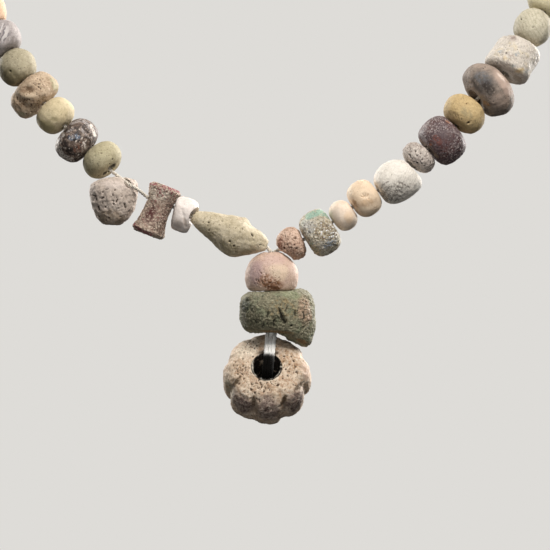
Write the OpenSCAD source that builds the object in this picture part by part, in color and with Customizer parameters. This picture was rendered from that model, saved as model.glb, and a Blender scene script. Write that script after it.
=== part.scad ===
// A bead necklace: old beads of faience, glass, clay and stone on one string, with a three-bead pendant.
// Origin: the middle of the neck opening, level with the nape. +Z is up and the wearer faces -Y.
// Stops and sections are in millimetres. A stop is [across, up, forward] from the pendant's hanging point.

/* [String] */
// How far the pendant hangs below the nape
neck_drop = 100; // [90:1:110]
// Distance from the middle of the neck opening to the front of the string
neck_reach = 67.5; // [64:0.5:72]
// How strongly the string leans back with its height on the chest, per millimetre
chest_slope = 0.0065; // [0.005:0.0005:0.008]
// Thickness of the string
thread_d = 0.7; // [0.5:0.1:0.8]
// Thickness of the strands that carry the pendant
strand_d = 0.6; // [0.5:0.05:0.6]
// Smallest space between neighbouring beads
bead_gap = 0.3; // [0.25:0.05:0.4]

/* [Beads] */
// Bore of a bead on the string
bore_d = 1.5; // [1.3:0.1:1.6]
// Bore of the pendant's two upper beads
pendant_bore_d = 2.4; // [2.3:0.1:2.6]
// Rim round a bore
rim_w = 0.35; // [0.3:0.05:0.5]
// Diameter of the plain beads at the back
back_bead_d = 8; // [6:0.5:9]
// Number of plain beads on each side at the back
back_beads = 18; // [16:1:20]

/* [Melon ring] */
// Greatest radius of the melon ring
ring_r = 9; // [8.5:0.1:9.5]
// Thickness of the melon ring from face to face
ring_t = 11; // [10:0.5:11]
// Diameter of the melon ring's hole
ring_hole_d = 5.6; // [5.4:0.1:6]
// How far the melon ring's face looks up
ring_tilt = 27; // [24:1:30]

/* [Hidden] */

// How far one cut runs into the next
eps = 0.01;
round_fn = 48;

// Where the string enters and leaves each bead, from the left edge of the chest to the right
STOPS = [
    [-57.6, 51.7, 0], [-56.4, 46.1, 0], [-53.7, 40, 0], [-50.6, 33.8, 0], [-46.3, 29.3, 0],
    [-42.2, 24.6, 0], [-36.7, 20.1, -0.6], [-32.6, 15.4, 0.4], [-31.7, 14.8, -1], [-29, 12.8, 4],
    [-27.3, 11.8, 3.6], [-25.4, 10.2, 0.8], [-20.1, 8.2, 0], [-16.2, 6.3, 0], [-0.7, -0.1, 0],
    [0.1, -1.4, 0], [2, -0.4, 0], [6.8, 1.5, 0], [12.6, 5.1, 0], [16.7, 8.1, 0], [21.8, 11.5, 0],
    [28.9, 16.4, 0], [32, 19.9, 0], [37.7, 24.7, 0], [41.8, 29.9, 0], [47.8, 34.9, 0], [51.7, 42.4, 0],
    [55.8, 48.2, 0], [58.4, 54.7, 0]
];
hanging_stop = 15;

function on_body(stop) =
    [stop.x, chest_slope * pow(stop.y, 2) - neck_reach - stop.z, stop.y - neck_drop];
function unit(v) = v / norm(v);
function mix(a, b, t) = a + (b - a) * t;

FRONT_ROUTE = [for (stop = STOPS) on_body(stop)];
front_last = len(FRONT_ROUTE) - 1;
nape = [0, neck_reach, 0];

// The hidden string: a smooth curve from the end of the front round the neck to the nape
back_lead = 45;
nape_lead = [42, 0, 3];
function curve(ends, t) =
    pow(1 - t, 3) * ends[0] + 3 * t * pow(1 - t, 2) * ends[1]
    + 3 * t * t * (1 - t) * ends[2] + pow(t, 3) * ends[3];
LEFT_CURVE = [
    FRONT_ROUTE[0],
    FRONT_ROUTE[0] + back_lead * unit(FRONT_ROUTE[0] - FRONT_ROUTE[1]),
    [-nape_lead.x, nape.y, nape.z + nape_lead.z],
    nape
];
RIGHT_CURVE = [
    FRONT_ROUTE[front_last],
    FRONT_ROUTE[front_last] + back_lead * unit(FRONT_ROUTE[front_last] - FRONT_ROUTE[front_last - 1]),
    [nape_lead.x, nape.y, nape.z + nape_lead.z],
    nape
];
// Steps along a curve, and the length of the curve up to each step
curve_steps = 60;
function steps_of(ends) = [for (i = [0:curve_steps]) curve(ends, i / curve_steps)];
function lengths_of(points, i = 1, run = [0]) =
    i >= len(points) ? run
    : lengths_of(points, i + 1, concat(run, [run[i - 1] + norm(points[i] - points[i - 1])]));
function curve_table(ends) =
    let (lengths = lengths_of(steps_of(ends)))
    [for (i = [0:curve_steps]) [lengths[i], i / curve_steps]];
knot_l = 3;
// The ends of the plain beads, evenly spaced from the front's last bead to the knot
function back_stops(ends) =
    let (table = curve_table(ends), reach = table[curve_steps][0] - knot_l / 2)
    [for (i = [0:back_beads]) curve(ends, lookup(reach * i / back_beads, table))];
LEFT_BACK = back_stops(LEFT_CURVE);
RIGHT_BACK = back_stops(RIGHT_CURVE);

// A frame from one stop to the next: x is up across the bead, y faces forward, z runs along the bead
module between(a, b) {
    along = unit(b - a);
    up = unit(cross(along, [0, 1, 0]));
    forward = cross(along, up);
    middle = (a + b) / 2;
    multmatrix([
        [up.x, forward.x, along.x, middle.x],
        [up.y, forward.y, along.y, middle.y],
        [up.z, forward.z, along.z, middle.z],
        [0, 0, 0, 1]
    ]) children();
}

module on_string(i) {
    between(FRONT_ROUTE[i], FRONT_ROUTE[i + 1]) children();
}

// How far a bead's end keeps back from its stop, so that it clears its neighbour where the string bends
function bend(a, b, c) = acos(min(1, unit(b - a) * unit(c - b)));
function keep_back(route, i, end_d) =
    let (turn = i > 0 && i < len(route) - 1 ? bend(route[i - 1], route[i], route[i + 1]) : 0)
    bead_gap / 2 + end_d / 2 * tan(min(turn, 30) / 2);

// Half outline of a turned bead: an end face, a bulging side and the other end face
function bead_outline(low, high, mid_d, low_d, high_d, power, belly = 0, steps = 16) =
    let (middle = (low + high) / 2 + belly)
    [
        [0, low],
        for (i = [0:steps])
            let (
                t = -cos(180 * i / steps), end_d = t < 0 ? low_d : high_d,
                half = t < 0 ? middle - low : high - middle
            )
            [end_d / 2 + (mid_d - end_d) / 2 * pow(1 - pow(abs(t), power), 1 / power), middle + t * half],
        [0, high]
    ];

module bore(length, d = bore_d) {
    cylinder(h = length, d = d, center = true, $fn = round_fn);
}

// A turned bead between two stops of a route; lift moves its body up across its bore
module turned_bead(route, i, mid_d, end_d, far_end_d, power, lift = 0) {
    span = norm(route[i + 1] - route[i]);
    low = keep_back(route, i, end_d) - span / 2;
    high = span / 2 - keep_back(route, i + 1, far_end_d);
    between(route[i], route[i + 1]) difference() {
        translate([lift, 0, 0])
            rotate_extrude($fn = round_fn) polygon(bead_outline(low, high, mid_d, end_d, far_end_d, power));
        bore(span + 2);
    }
}
small_end_d = bore_d + 2 * rim_w;
module front_bead(i, mid_d, power = 2, end_d = small_end_d, far_end_d = 0, lift = 0) {
    turned_bead(FRONT_ROUTE, i, mid_d, end_d, max(end_d, far_end_d), power, lift);
}

// A bead shaped by sections, each [along, up, down, depth, lean], or with a droop: how far the tip of the
// lower side hangs along the bead for each unit of its reach. The shape runs smoothly through the rows.
ALONG = 0;
UP = 1;
DOWN = 2;
DEPTH = 3;
LEAN = 4;
DROOP = 5;
function smooth(rows, t) =
    let (
        last = len(rows) - 1, place = min(t, 0.9999) * last, i = floor(place), s = place - i,
        before = rows[max(0, i - 1)], from = rows[i], to = rows[i + 1], after = rows[min(last, i + 2)]
    )
    0.5 * (2 * from + (to - before) * s + (2 * before - 5 * from + 4 * to - after) * s * s
        + (3 * from - before - 3 * to + after) * pow(s, 3));
// Flutes may be worn shallower towards +Y.
function section_points(row, sides, lobes = 0, groove = 0, phase = 0, wear = 0) =
    [for (k = [0:sides - 1])
        let (
            turn = 360 * k / sides, cut = groove * (1 - wear * max(0, sin(turn))),
            fluted = 1 - cut * pow(1 - abs(sin((turn - phase) * lobes / 2)), 2),
            side = fluted * cos(turn) * (cos(turn) > 0 ? row[UP] : row[DOWN]),
            droop = side < 0 && len(row) > DROOP ? row[DROOP] * pow(side, 2) / row[DOWN] : 0
        )
        [side, fluted * sin(turn) * row[DEPTH], row[ALONG] + row[LEAN] * side - droop]];
// A skin over rings of points: open ends are closed by fans round a middle point
module skin(rings, middles = []) {
    sides = len(rings[0]);
    count = len(rings);
    closed = len(middles) == 0;
    points = [for (ring = rings) each ring, each middles];
    walls = [
        for (j = [0:count - (closed ? 1 : 2)], k = [0:sides - 1])
            let (next = (k + 1) % sides, above = (j + 1) % count)
            each [
                [j * sides + k, above * sides + k, j * sides + next],
                [j * sides + next, above * sides + k, above * sides + next]
            ]
    ];
    caps = closed ? [] : [
        for (k = [0:sides - 1])
            let (next = (k + 1) % sides, top = (count - 1) * sides)
            each [[count * sides, k, next], [count * sides + 1, top + next, top + k]]
    ];
    polyhedron(points, concat(walls, caps));
}
function end_middles(rows) = [[0, 0, rows[0][ALONG]], [0, 0, rows[len(rows) - 1][ALONG]]];

section_sides = 24;
section_rings = 18;
module sectioned(rows, rings = section_rings, sides = section_sides) {
    skin([for (j = [0:rings]) section_points(smooth(rows, j / rings), sides)], end_middles(rows));
}

// A thin round tube along a route. Each ring lies across the route, its first point turned to side.
function ring_across(here, ahead, side, d, sides) =
    let (u = unit(side - (side * ahead) * ahead), v = cross(ahead, u))
    [for (k = [0:sides - 1]) here + d / 2 * (cos(360 * k / sides) * u + sin(360 * k / sides) * v)];
function loop_rings(route, d, side_of, sides = 8) =
    let (n = len(route))
    [for (i = [0:n - 1])
        let (before = route[(i + n - 1) % n], after = route[(i + 1) % n])
        ring_across(route[i], unit(unit(route[i] - before) + unit(after - route[i])), side_of(i), d, sides)];

LEFT_1_SPINDLE = [
    [-8.2, 1.2, 1.1, 1.2, 0.1], [-6.3, 2, 2.1, 2.1, 0.1], [-4.2, 2.5, 2.8, 2.7, 0], [-2.1, 3, 3.6, 3.3, 0],
    [0, 3.6, 4.5, 3.9, 0], [2.1, 3.6, 4.7, 4, 0], [4.2, 2.7, 3.7, 3.3, 0], [6.5, 2.3, 2.2, 2.3, 0],
    [8.2, 1.2, 1.6, 1.4, 0]
];
spindle_bore_d = 1.2;
module left_1_spindle() {
    color("#c6bb9c") difference() {
        on_string(13) sectioned(LEFT_1_SPINDLE);
        on_string(13) bore(20, spindle_bore_d);
        pink_sweep();
    }
}

// A worn collar whose open lip takes the tip of the spindle. The spool has rubbed a hollow in its far end.
LEFT_2_COLLAR = [
    [-1.8, 1.9, 2.7, 2.4, -0.2], [-1.5, 2.8, 3.8, 3.2, -0.2], [-0.6, 3, 4.1, 3.5, -0.1],
    [0.6, 3.2, 4.1, 3.6, -0.05], [2, 3, 3.9, 3.4, 0], [2.8, 2.1, 3.4, 2.8, 0]
];
collar_mouth = [4.2, 6, 4.4];
collar_mouth_at = [0.1, 1.1, 3.3];
module left_2_collar() {
    color("#e3d8cf") difference() {
        on_string(12) sectioned(LEFT_2_COLLAR);
        on_string(12) bore(12);
        on_string(12) translate(collar_mouth_at) scale(collar_mouth) sphere(d = 1, $fn = round_fn);
        spool_body(spool_spare);
    }
}

// A waisted spool strung crosswise near its waist, so that it hangs below the string
spool_l = 10.6;
spool_end_d = 7.1;
spool_waist_d = 5.3;
spool_drop = 1.8;
spool_turn = -1;
spool_edge = 0.7;
spool_spare = 0.2;
module spool_body(spare = 0) {
    half = spool_l / 2 + spare;
    end_r = spool_end_d / 2 + spare;
    waist_r = spool_waist_d / 2 + spare;
    outline = [
        [0, -half], [end_r - spool_edge, -half], [end_r, spool_edge - half],
        for (i = [1:9])
            let (t = i / 5 - 1)
            [mix(waist_r, end_r, pow(abs(t), 2)), t * (half - spool_edge)],
        [end_r, half - spool_edge], [end_r - spool_edge, half], [0, half]
    ];
    on_string(11) translate([-spool_drop, 0, 0]) rotate([0, 90 + spool_turn, 0])
        rotate_extrude($fn = round_fn) polygon(outline);
}
module left_3_spool() {
    color("#b9a792") difference() {
        spool_body();
        on_string(11) bore(12);
    }
}

// A pierced lump, its bore running from the top of its back out through its front
LEFT_4_LUMP = [
    [-4.9, 2.2, 1.2, 1.8, 0], [-3.9, 3.3, 2.6, 2.9, 0], [-2.5, 3.9, 3.7, 3.7, 0], [-0.8, 4.5, 4.5, 4.3, 0],
    [0.8, 4.9, 4.9, 4.5, 0], [2.3, 5.1, 5.2, 4.5, 0], [3.5, 4.7, 4.9, 4.2, 0], [4.3, 3.4, 4.2, 3.4, 0],
    [4.8, 1.3, 2.6, 1.7, 0]
];
lump_at = on_body([-32.2, 9.4, 0]);
module left_4_pierced_lump() {
    color("#c2b3a2") difference() {
        between(lump_at - [0, 0, 1], lump_at + [0, 0, 1]) sectioned(LEFT_4_LUMP);
        on_string(8) bore(9);
    }
}

module left_5_round() color("#cfc6a2") front_bead(6, 8.5, power = 2.2, lift = 0.1);
module left_6_mosaic() color("#3d3532") front_bead(5, 9.5, power = 2.5, lift = -0.65);
module left_7_cream() color("#d5c79b") front_bead(4, 8.1, power = 2.2);

// A melon bead: broad flutes run from end to end
melon_lobes = 4;
melon_groove = 0.16;
melon_depth = 4.8;
melon_phase = 41;
LEFT_8_MELON = [
    [-2.9, 2.4, 2.8, 2.4, 0], [-2.6, 3.6, 4.2, 3.5, 0], [-1.5, 4.6, 5.3, 4.5, 0],
    [0, 5, 5.6, melon_depth, 0], [1.5, 4.9, 5.5, 4.7, 0], [2.5, 4.1, 4.6, 3.9, 0], [2.9, 2.8, 3.1, 2.7, 0]
];
module left_8_melon() {
    rings = 14;
    sides = melon_lobes * 12;
    color("#c4ae98") on_string(3) difference() {
        skin([for (j = [0:rings])
            let (row = smooth(LEFT_8_MELON, j / rings))
            section_points(row, sides, melon_lobes, melon_groove * row[DEPTH] / melon_depth, melon_phase)],
            end_middles(LEFT_8_MELON));
        bore(12);
    }
}

module left_9_olive() color("#b9ae92") front_bead(2, 8);
module left_10_striated() color("#c9bdb4") front_bead(1, 8, power = 2.2, lift = -0.4);
module left_11_peach() color("#d9b69b") front_bead(0, 4.8, power = 2.5);

// A small round bead, worn hollow where the pink bead rubs against it
RIGHT_1_POROUS = [
    [-2.9, 1.2, 1, 1.2, -0.1], [-2.3, 2.4, 2.1, 2.3, -0.1], [-1.1, 3.3, 3, 3.2, 0],
    [0.1, 3.6, 3.4, 3.5, 0], [1.3, 3.3, 3.2, 3.2, 0], [2, 2.6, 2.5, 2.5, 0], [2.3, 1.9, 1.8, 1.8, 0]
];
module right_1_porous() {
    color("#b5957e") difference() {
        on_string(16) sectioned(RIGHT_1_POROUS, rings = 14);
        on_string(16) bore(10);
        pink_sweep();
    }
}

module right_2_crusted() color("#c8bba0") front_bead(17, 9.5, power = 2.8, end_d = 3.6, lift = -0.5);
module right_3_bicone() color("#e3cbae") front_bead(18, 6.5, power = 2.1, lift = -0.2);
module right_4_peach() color("#e6cfae") front_bead(19, 7.7, power = 2.4, lift = 0.2);
// A barrel whose far end slants ahead below its bore
RIGHT_5_BARREL = [
    [-4.1, 1.6, 2.6, 2, 0.05], [-3.5, 2.6, 3.8, 3.2, 0], [-2, 3.5, 4.7, 4.1, -0.06],
    [0, 3.9, 5, 4.4, -0.1], [2, 3.6, 4.8, 4.2, -0.14], [3.4, 2.8, 4.1, 3.4, -0.16], [4, 2, 3, 2.4, -0.16]
];
module right_5_barrel() {
    color("#e0d9ce") on_string(20) difference() {
        sectioned(RIGHT_5_BARREL);
        bore(12);
    }
}
module right_6_grey() color("#a89e95") front_bead(21, 7.2, power = 2.4, lift = 0.25);
module right_7_purple() color("#6d5a5c") front_bead(22, 10, power = 2.5, end_d = 5, lift = -0.5);
module right_8_ochre() color("#c7ae74") front_bead(23, 9, power = 2.2, lift = 0.1);

// A large pebble bead with a dished end
RIGHT_9_PEBBLE = [
    [-3.5, 3.3, 2.9, 3.2, 0.05], [-2.9, 5.1, 4.6, 4.9, 0.05], [-1.9, 5.8, 5.5, 5.7, 0],
    [-0.5, 6.2, 6.1, 6, 0], [1, 6, 6, 5.9, 0], [2, 5.3, 5.4, 5.2, 0],
    [2.9, 4.3, 4.3, 4.2, 0], [3.4, 2.8, 2.7, 2.7, 0]
];
pebble_dish_d = 5.6;
pebble_dish = 1.2;
pebble_end = -3.55;
module right_9_pebble() {
    color("#8f8379") on_string(24) difference() {
        sectioned(RIGHT_9_PEBBLE);
        bore(12);
        translate([0, 0, pebble_end])
            cylinder(h = pebble_dish, d1 = pebble_dish_d, d2 = bore_d, $fn = round_fn);
    }
}

// A slanting cylinder with a chipped upper corner
RIGHT_10_MOTTLED = [
    [-3.8, 3.8, 3.4, 3.2, 0], [-3.3, 4.9, 4.5, 4.3, 0], [-2, 5.2, 4.8, 4.6, 0], [0, 4.8, 4.8, 4.7, 0],
    [2, 4.4, 4.9, 4.6, 0], [3.3, 3.9, 4.7, 4.2, 0], [3.8, 2.7, 3.6, 3, 0]
];
chip_d = 3.4;
chip_at = [3.3, 1.2, 4.6];
chip_lean = 35;
module right_10_mottled() {
    color("#cfc6bc") on_string(25) difference() {
        sectioned(RIGHT_10_MOTTLED);
        bore(12);
        translate(chip_at) rotate([0, -chip_lean, 0]) bore(3, chip_d);
    }
}

module right_11_pale() color("#c3bca4") front_bead(26, 7.8, lift = -0.15);
module right_12_yellow() color("#c6bb92") front_bead(27, 8.4, power = 2.2);

// The pendant's beads share one upright bore. Its line and its heights are measured on the body.
pendant_x = STOPS[hanging_stop].x;
hanging_point = FRONT_ROUTE[hanging_stop];
pendant_y = hanging_point.y;
function height(up) = up - neck_drop;
module upright(x, up) {
    at = [x, pendant_y, height(up)];
    between(at - [0, 0, 1], at + [0, 0, 1]) children();
}

// The pink bead: a high dome over a flat foot. The string dips into its mouth through two worn notches.
pink_top = -0.85;
pink_foot = -8.95;
pink_d = 10.9;
pink_foot_d = 8.4;
pink_belly = -1.1;
pink_power = 2;
pink_mouth_d = 3.2;
pink_mouth_up = -0.7;
pink_mouth_depth = 1.5;
notch_d = thread_d + 0.5;
module pink_body(spare = 0) {
    upright(pendant_x, 0) rotate_extrude($fn = round_fn)
        polygon(bead_outline(
            pink_foot - spare, pink_top + spare, pink_d + 2 * spare, pink_foot_d, 0, pink_power, pink_belly,
            steps = 20
        ));
}
// The room that the pink bead needs as the pendant swings
swing_range = 12;
swing_spare = 0.3;
module pink_sweep() {
    for (swing = [-swing_range, 0, swing_range])
        translate(hanging_point) rotate([swing, 0, 0]) translate(-hanging_point) pink_body(swing_spare);
}
module pendant_1_pink() {
    color("#d2b49c") difference() {
        pink_body();
        upright(pendant_x, 0) bore(30, pendant_bore_d);
        upright(pendant_x, pink_mouth_up - pink_mouth_depth)
            cylinder(h = pink_mouth_depth, d1 = pendant_bore_d, d2 = pink_mouth_d, $fn = round_fn);
        for (i = [hanging_stop - 1, hanging_stop]) on_string(i) bore(2.2, notch_d);
    }
}

// The green barrel: wider to the right, dished below where the strands spread, and worn to a seat above
PENDANT_2_GREEN = [
    [-4.2, 4.2, 6.4, 5, 0, 0.46], [-3.6, 5.6, 7.9, 6.4, 0, 0.37], [-1.8, 6.5, 8.8, 7.3, 0, 0.2],
    [0, 6.6, 9, 7.5, 0, 0.03], [1.8, 6.5, 8.7, 7.3, 0, -0.04], [3.3, 5.9, 7.9, 6.6, 0, -0.07],
    [4.1, 4.6, 6.4, 5.2, 0, -0.1]
];
green_middle = -13.3;
green_foot = -17.4;
green_dish_d = 6.6;
green_dish = 1.2;
green_seat = 0.2;
module pendant_2_green() {
    color("#7f8468") upright(pendant_x, 0) difference() {
        translate([0, 0, green_middle]) sectioned(PENDANT_2_GREEN, sides = 32);
        bore(60, pendant_bore_d);
        translate([0, 0, green_foot - eps])
            cylinder(h = green_dish, d1 = green_dish_d, d2 = pendant_bore_d, $fn = round_fn);
        translate([0, 0, green_foot - 2]) cylinder(h = 2, d = green_dish_d, $fn = round_fn);
        translate([0, 0, pink_foot - green_seat]) cylinder(h = 2, d = pink_d, $fn = round_fn);
    }
}

// The melon ring: eight lobes round an off-centre hole, hung on the strands with its face looking up.
// In its own frame x is across to the left, y up its face and z out of its face.
ring_x = -0.9;
ring_up = -27.2;
ring_lobes = 8;
ring_groove = 0.15;
ring_groove_phase = 25;
ring_groove_wear = 0.75;
ring_edge = 4;
ring_hole_up = 0.55;
ring_hole_draw = 0.4;
function ring_section(t) =
    let (face = ring_t / 2 - ring_edge, z = t * ring_t / 2, over = max(0, abs(z) - face))
    [z, ring_r - ring_edge + sqrt(max(0, pow(ring_edge, 2) - pow(over, 2)))];
module ring_frame() {
    translate([ring_x, pendant_y, height(ring_up)]) rotate([90 - ring_tilt, 0, 0]) children();
}
module pendant_3_melon_ring() {
    rings = 12;
    color("#c8b69c") ring_frame() difference() {
        skin([for (j = [0:rings])
            let (section = ring_section(-cos(180 * j / rings)), r = section[1])
            section_points([section[0], r, r, r, 0], ring_lobes * 8, ring_lobes,
                ring_groove * (r - ring_r + ring_edge) / ring_edge, ring_groove_phase, ring_groove_wear)],
            [[0, 0, -ring_t / 2], [0, 0, ring_t / 2]]);
        hull() for (up = [ring_hole_up - ring_hole_draw, ring_hole_up])
            translate([0, up, 0]) bore(ring_t + 2, ring_hole_d);
    }
}

// The string: one closed loop through every bead. Its rings are turned outwards from the neck.
MAIN_ROUTE = [
    each FRONT_ROUTE,
    for (i = [1:back_beads]) RIGHT_BACK[i],
    for (i = [back_beads:-1:1]) LEFT_BACK[i]
];
module main_thread() {
    color("#d8d0c2")
        skin(loop_rings(MAIN_ROUTE, thread_d, function (i) [MAIN_ROUTE[i].x, MAIN_ROUTE[i].y, 0]));
}

// The pendant's strands, as [forward, up] on the body. A point on the ring's section is
// [out of its face, up its face].
function off_ring(out, up_face) = [
    out * cos(ring_tilt) - up_face * sin(ring_tilt),
    ring_up + out * sin(ring_tilt) + up_face * cos(ring_tilt)
];
strand_gap = 0.12;
strand_off = strand_d / 2 + strand_gap;
strand_sag = 0.3;
function round_edge(turn) =
    off_ring(
        ring_t / 2 - ring_edge + (ring_edge + strand_off) * cos(turn),
        ring_r - ring_edge + (ring_edge + strand_off) * sin(turn)
    );
function round_back(turn) =
    off_ring(
        ring_edge - ring_t / 2 - (ring_edge + strand_off) * cos(turn),
        ring_r - ring_edge + (ring_edge + strand_off) * sin(turn)
    );
hole_top = ring_hole_up + ring_hole_d / 2 - strand_off - strand_sag;
face_off = ring_t / 2 + strand_off;
THROUGH_HOLE = [
    off_ring(face_off + 0.05, 3.9), off_ring(face_off, 2.75), off_ring(face_off - 0.9, hole_top),
    off_ring(2, hole_top), off_ring(-2, hole_top),
    off_ring(0.9 - face_off, hole_top), off_ring(-face_off, 2.75), off_ring(-face_off - 0.05, 3.9)
];
// The strands drift sideways as they go down to the hole
strand_drift = 0.1;
function strand_point(x, point) =
    [x + strand_drift * min(0, point.y - green_foot), pendant_y - point.x, height(point.y)];
function strand_rings(x, route) =
    let (points = [for (point = route) strand_point(x, point)])
    loop_rings(points, strand_d, function (i) [1, 0, 0]);
bundle_r = 0.6;
hang_up = STOPS[hanging_stop].y;
HANGER = [
    [-bundle_r, green_foot + 3], [-bundle_r, hang_up - 1.6], [-0.4, hang_up - 1], [0.4, hang_up - 1],
    [bundle_r, hang_up - 1.6], [bundle_r, green_foot + 3], [0.9, green_foot],
    for (turn = [35:-20:-5]) round_edge(turn), each THROUGH_HOLE,
    for (turn = [-5:20:75]) round_back(turn), round_edge(88),
    [-1.9, green_foot - 0.05], [-0.8, green_foot + 1]
];
WRAP = [
    for (turn = [75:-20:-5]) round_edge(turn), each THROUGH_HOLE,
    for (turn = [-5:20:75]) round_back(turn), round_edge(95)
];
strand_pitch = strand_d + 0.15;
module pendant_thread() {
    color("#e4dfd8") {
        skin(strand_rings(pendant_x, HANGER));
        for (side = [-1, 1]) skin(strand_rings(pendant_x + side * strand_pitch, WRAP));
    }
}

knot_d = 2.4;
knot_bore_d = thread_d + 0.4;
knot_end_d = knot_bore_d + 0.4;
module nape_knot() {
    half = (knot_l - bead_gap) / 2;
    color("#d8d0c2") between(nape - [1, 0, 0], nape + [1, 0, 0]) difference() {
        rotate_extrude($fn = round_fn)
            polygon(bead_outline(-half, half, knot_d, knot_end_d, knot_end_d, 2));
        bore(knot_l + 2, knot_bore_d);
    }
}

// The plain beads out of sight, one string on each side
module back_string(stops) {
    for (i = [0:back_beads - 1]) turned_bead(stops, i, back_bead_d, small_end_d, small_end_d, 2.2);
}
module left_back_string() color("#b3ab93") back_string(LEFT_BACK);
module right_back_string() color("#b3ab93") back_string(RIGHT_BACK);

left_11_peach();
left_10_striated();
left_9_olive();
left_8_melon();
left_7_cream();
left_6_mosaic();
left_5_round();
left_4_pierced_lump();
left_3_spool();
left_2_collar();
left_1_spindle();
right_1_porous();
right_2_crusted();
right_3_bicone();
right_4_peach();
right_5_barrel();
right_6_grey();
right_7_purple();
right_8_ochre();
right_9_pebble();
right_10_mottled();
right_11_pale();
right_12_yellow();
pendant_1_pink();
pendant_2_green();
pendant_3_melon_ring();
main_thread();
pendant_thread();
nape_knot();
left_back_string();
right_back_string();
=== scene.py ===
"""Looks of the bead necklace: worn faience, glass, clay, stone and shell beads on a cotton string.

Each bead gets an even skin over its solid, which is then worn, carved and pitted, and a finish of
its own. Places on the beads are millimetres from the pendant's hanging point, (across, up), seen
from the front.
"""
import math

import bpy
import numpy as np
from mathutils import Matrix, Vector, kdtree, noise
from mathutils.bvhtree import BVHTree


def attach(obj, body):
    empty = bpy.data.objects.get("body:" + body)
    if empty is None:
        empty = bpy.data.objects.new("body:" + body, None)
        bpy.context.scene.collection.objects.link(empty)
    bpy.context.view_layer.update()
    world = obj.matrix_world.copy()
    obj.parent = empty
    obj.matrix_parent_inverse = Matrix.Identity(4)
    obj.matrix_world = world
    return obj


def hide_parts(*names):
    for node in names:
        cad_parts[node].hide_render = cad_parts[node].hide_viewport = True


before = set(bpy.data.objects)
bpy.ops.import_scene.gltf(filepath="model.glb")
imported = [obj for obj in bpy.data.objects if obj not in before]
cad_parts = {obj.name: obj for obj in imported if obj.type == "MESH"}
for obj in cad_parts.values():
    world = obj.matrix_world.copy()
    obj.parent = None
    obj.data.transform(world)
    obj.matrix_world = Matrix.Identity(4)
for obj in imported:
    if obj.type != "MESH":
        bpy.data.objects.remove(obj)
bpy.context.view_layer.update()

MM = 0.001
HANGING_POINT = Vector((0.0, -67.5, -100.0))
PIXEL = 0.205  # one pixel of the 550 x 550 photo at the necklace, in mm
PHOTO = 550
HANGING_PIXEL = (271, 247)

# The melon ring and the strands on it, as the solids have them
RING_UP = -27.2
RING_TILT = math.radians(27)
RING_R = 9.0
RING_T = 11.0
RING_EDGE = 4.0
HOLE_TOP = 2.63
STRAND_OFF = 0.42
STRAND_DRIFT = 0.1
GREEN_FOOT = -17.4
HANG_UP = -1.4
PENDANT_X = 0.1
STRAND_SPACING = 0.75
RING_ACROSS = PENDANT_X + STRAND_DRIFT * (RING_UP - GREEN_FOOT)
BORE_RISE = 0.2  # of the bore's middle above the ring's

IN_FRONT = 60  # mm, further forward than any bead reaches
WAVE_SPACING = 0.314  # of the wave texture at a scale of one
LUMPS = (0.8, 2.0, 3)  # how fast the noise's octaves weaken, their ratio and their number
SURROUND = "#DEDCD8"


def linear(colour):
    """An sRGB hex colour as linear RGBA."""
    parts = [int(colour[i : i + 2], 16) / 255 for i in (1, 3, 5)]
    return [c / 12.92 if c <= 0.04045 else ((c + 0.055) / 1.055) ** 2.4 for c in parts] + [1.0]


def add(tree, kind, settings=None, links=None, out=0):
    """Adds a node with its settings and links, and returns one of its outputs."""
    node = tree.nodes.new("ShaderNode" + kind)
    for name, value in (settings or {}).items():
        if isinstance(name, str) and hasattr(node, name):
            setattr(node, name, value)
        else:
            node.inputs[name].default_value = value
    for name, source in (links or {}).items():
        tree.links.new(source, node.inputs[name])
    return node.outputs[out] if len(node.outputs) else None


def fade(low, high):
    """Settings that give zero below low and one above high, or the reverse where low is higher."""
    near, far = (0.0, 1.0) if low < high else (1.0, 0.0)
    low, high = sorted((low, high))
    ends = {"From Min": low, "From Max": high, "To Min": near, "To Max": far}
    return {"interpolation_type": "SMOOTHSTEP", **ends}


def ease(share):
    """A smooth step: zero up to zero, one from one on."""
    share = np.clip(share, 0, 1)
    return share * share * (3 - 2 * share)


def new_object(name, data):
    piece = bpy.data.objects.new(name, data)
    bpy.context.scene.collection.objects.link(piece)
    return piece


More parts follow.
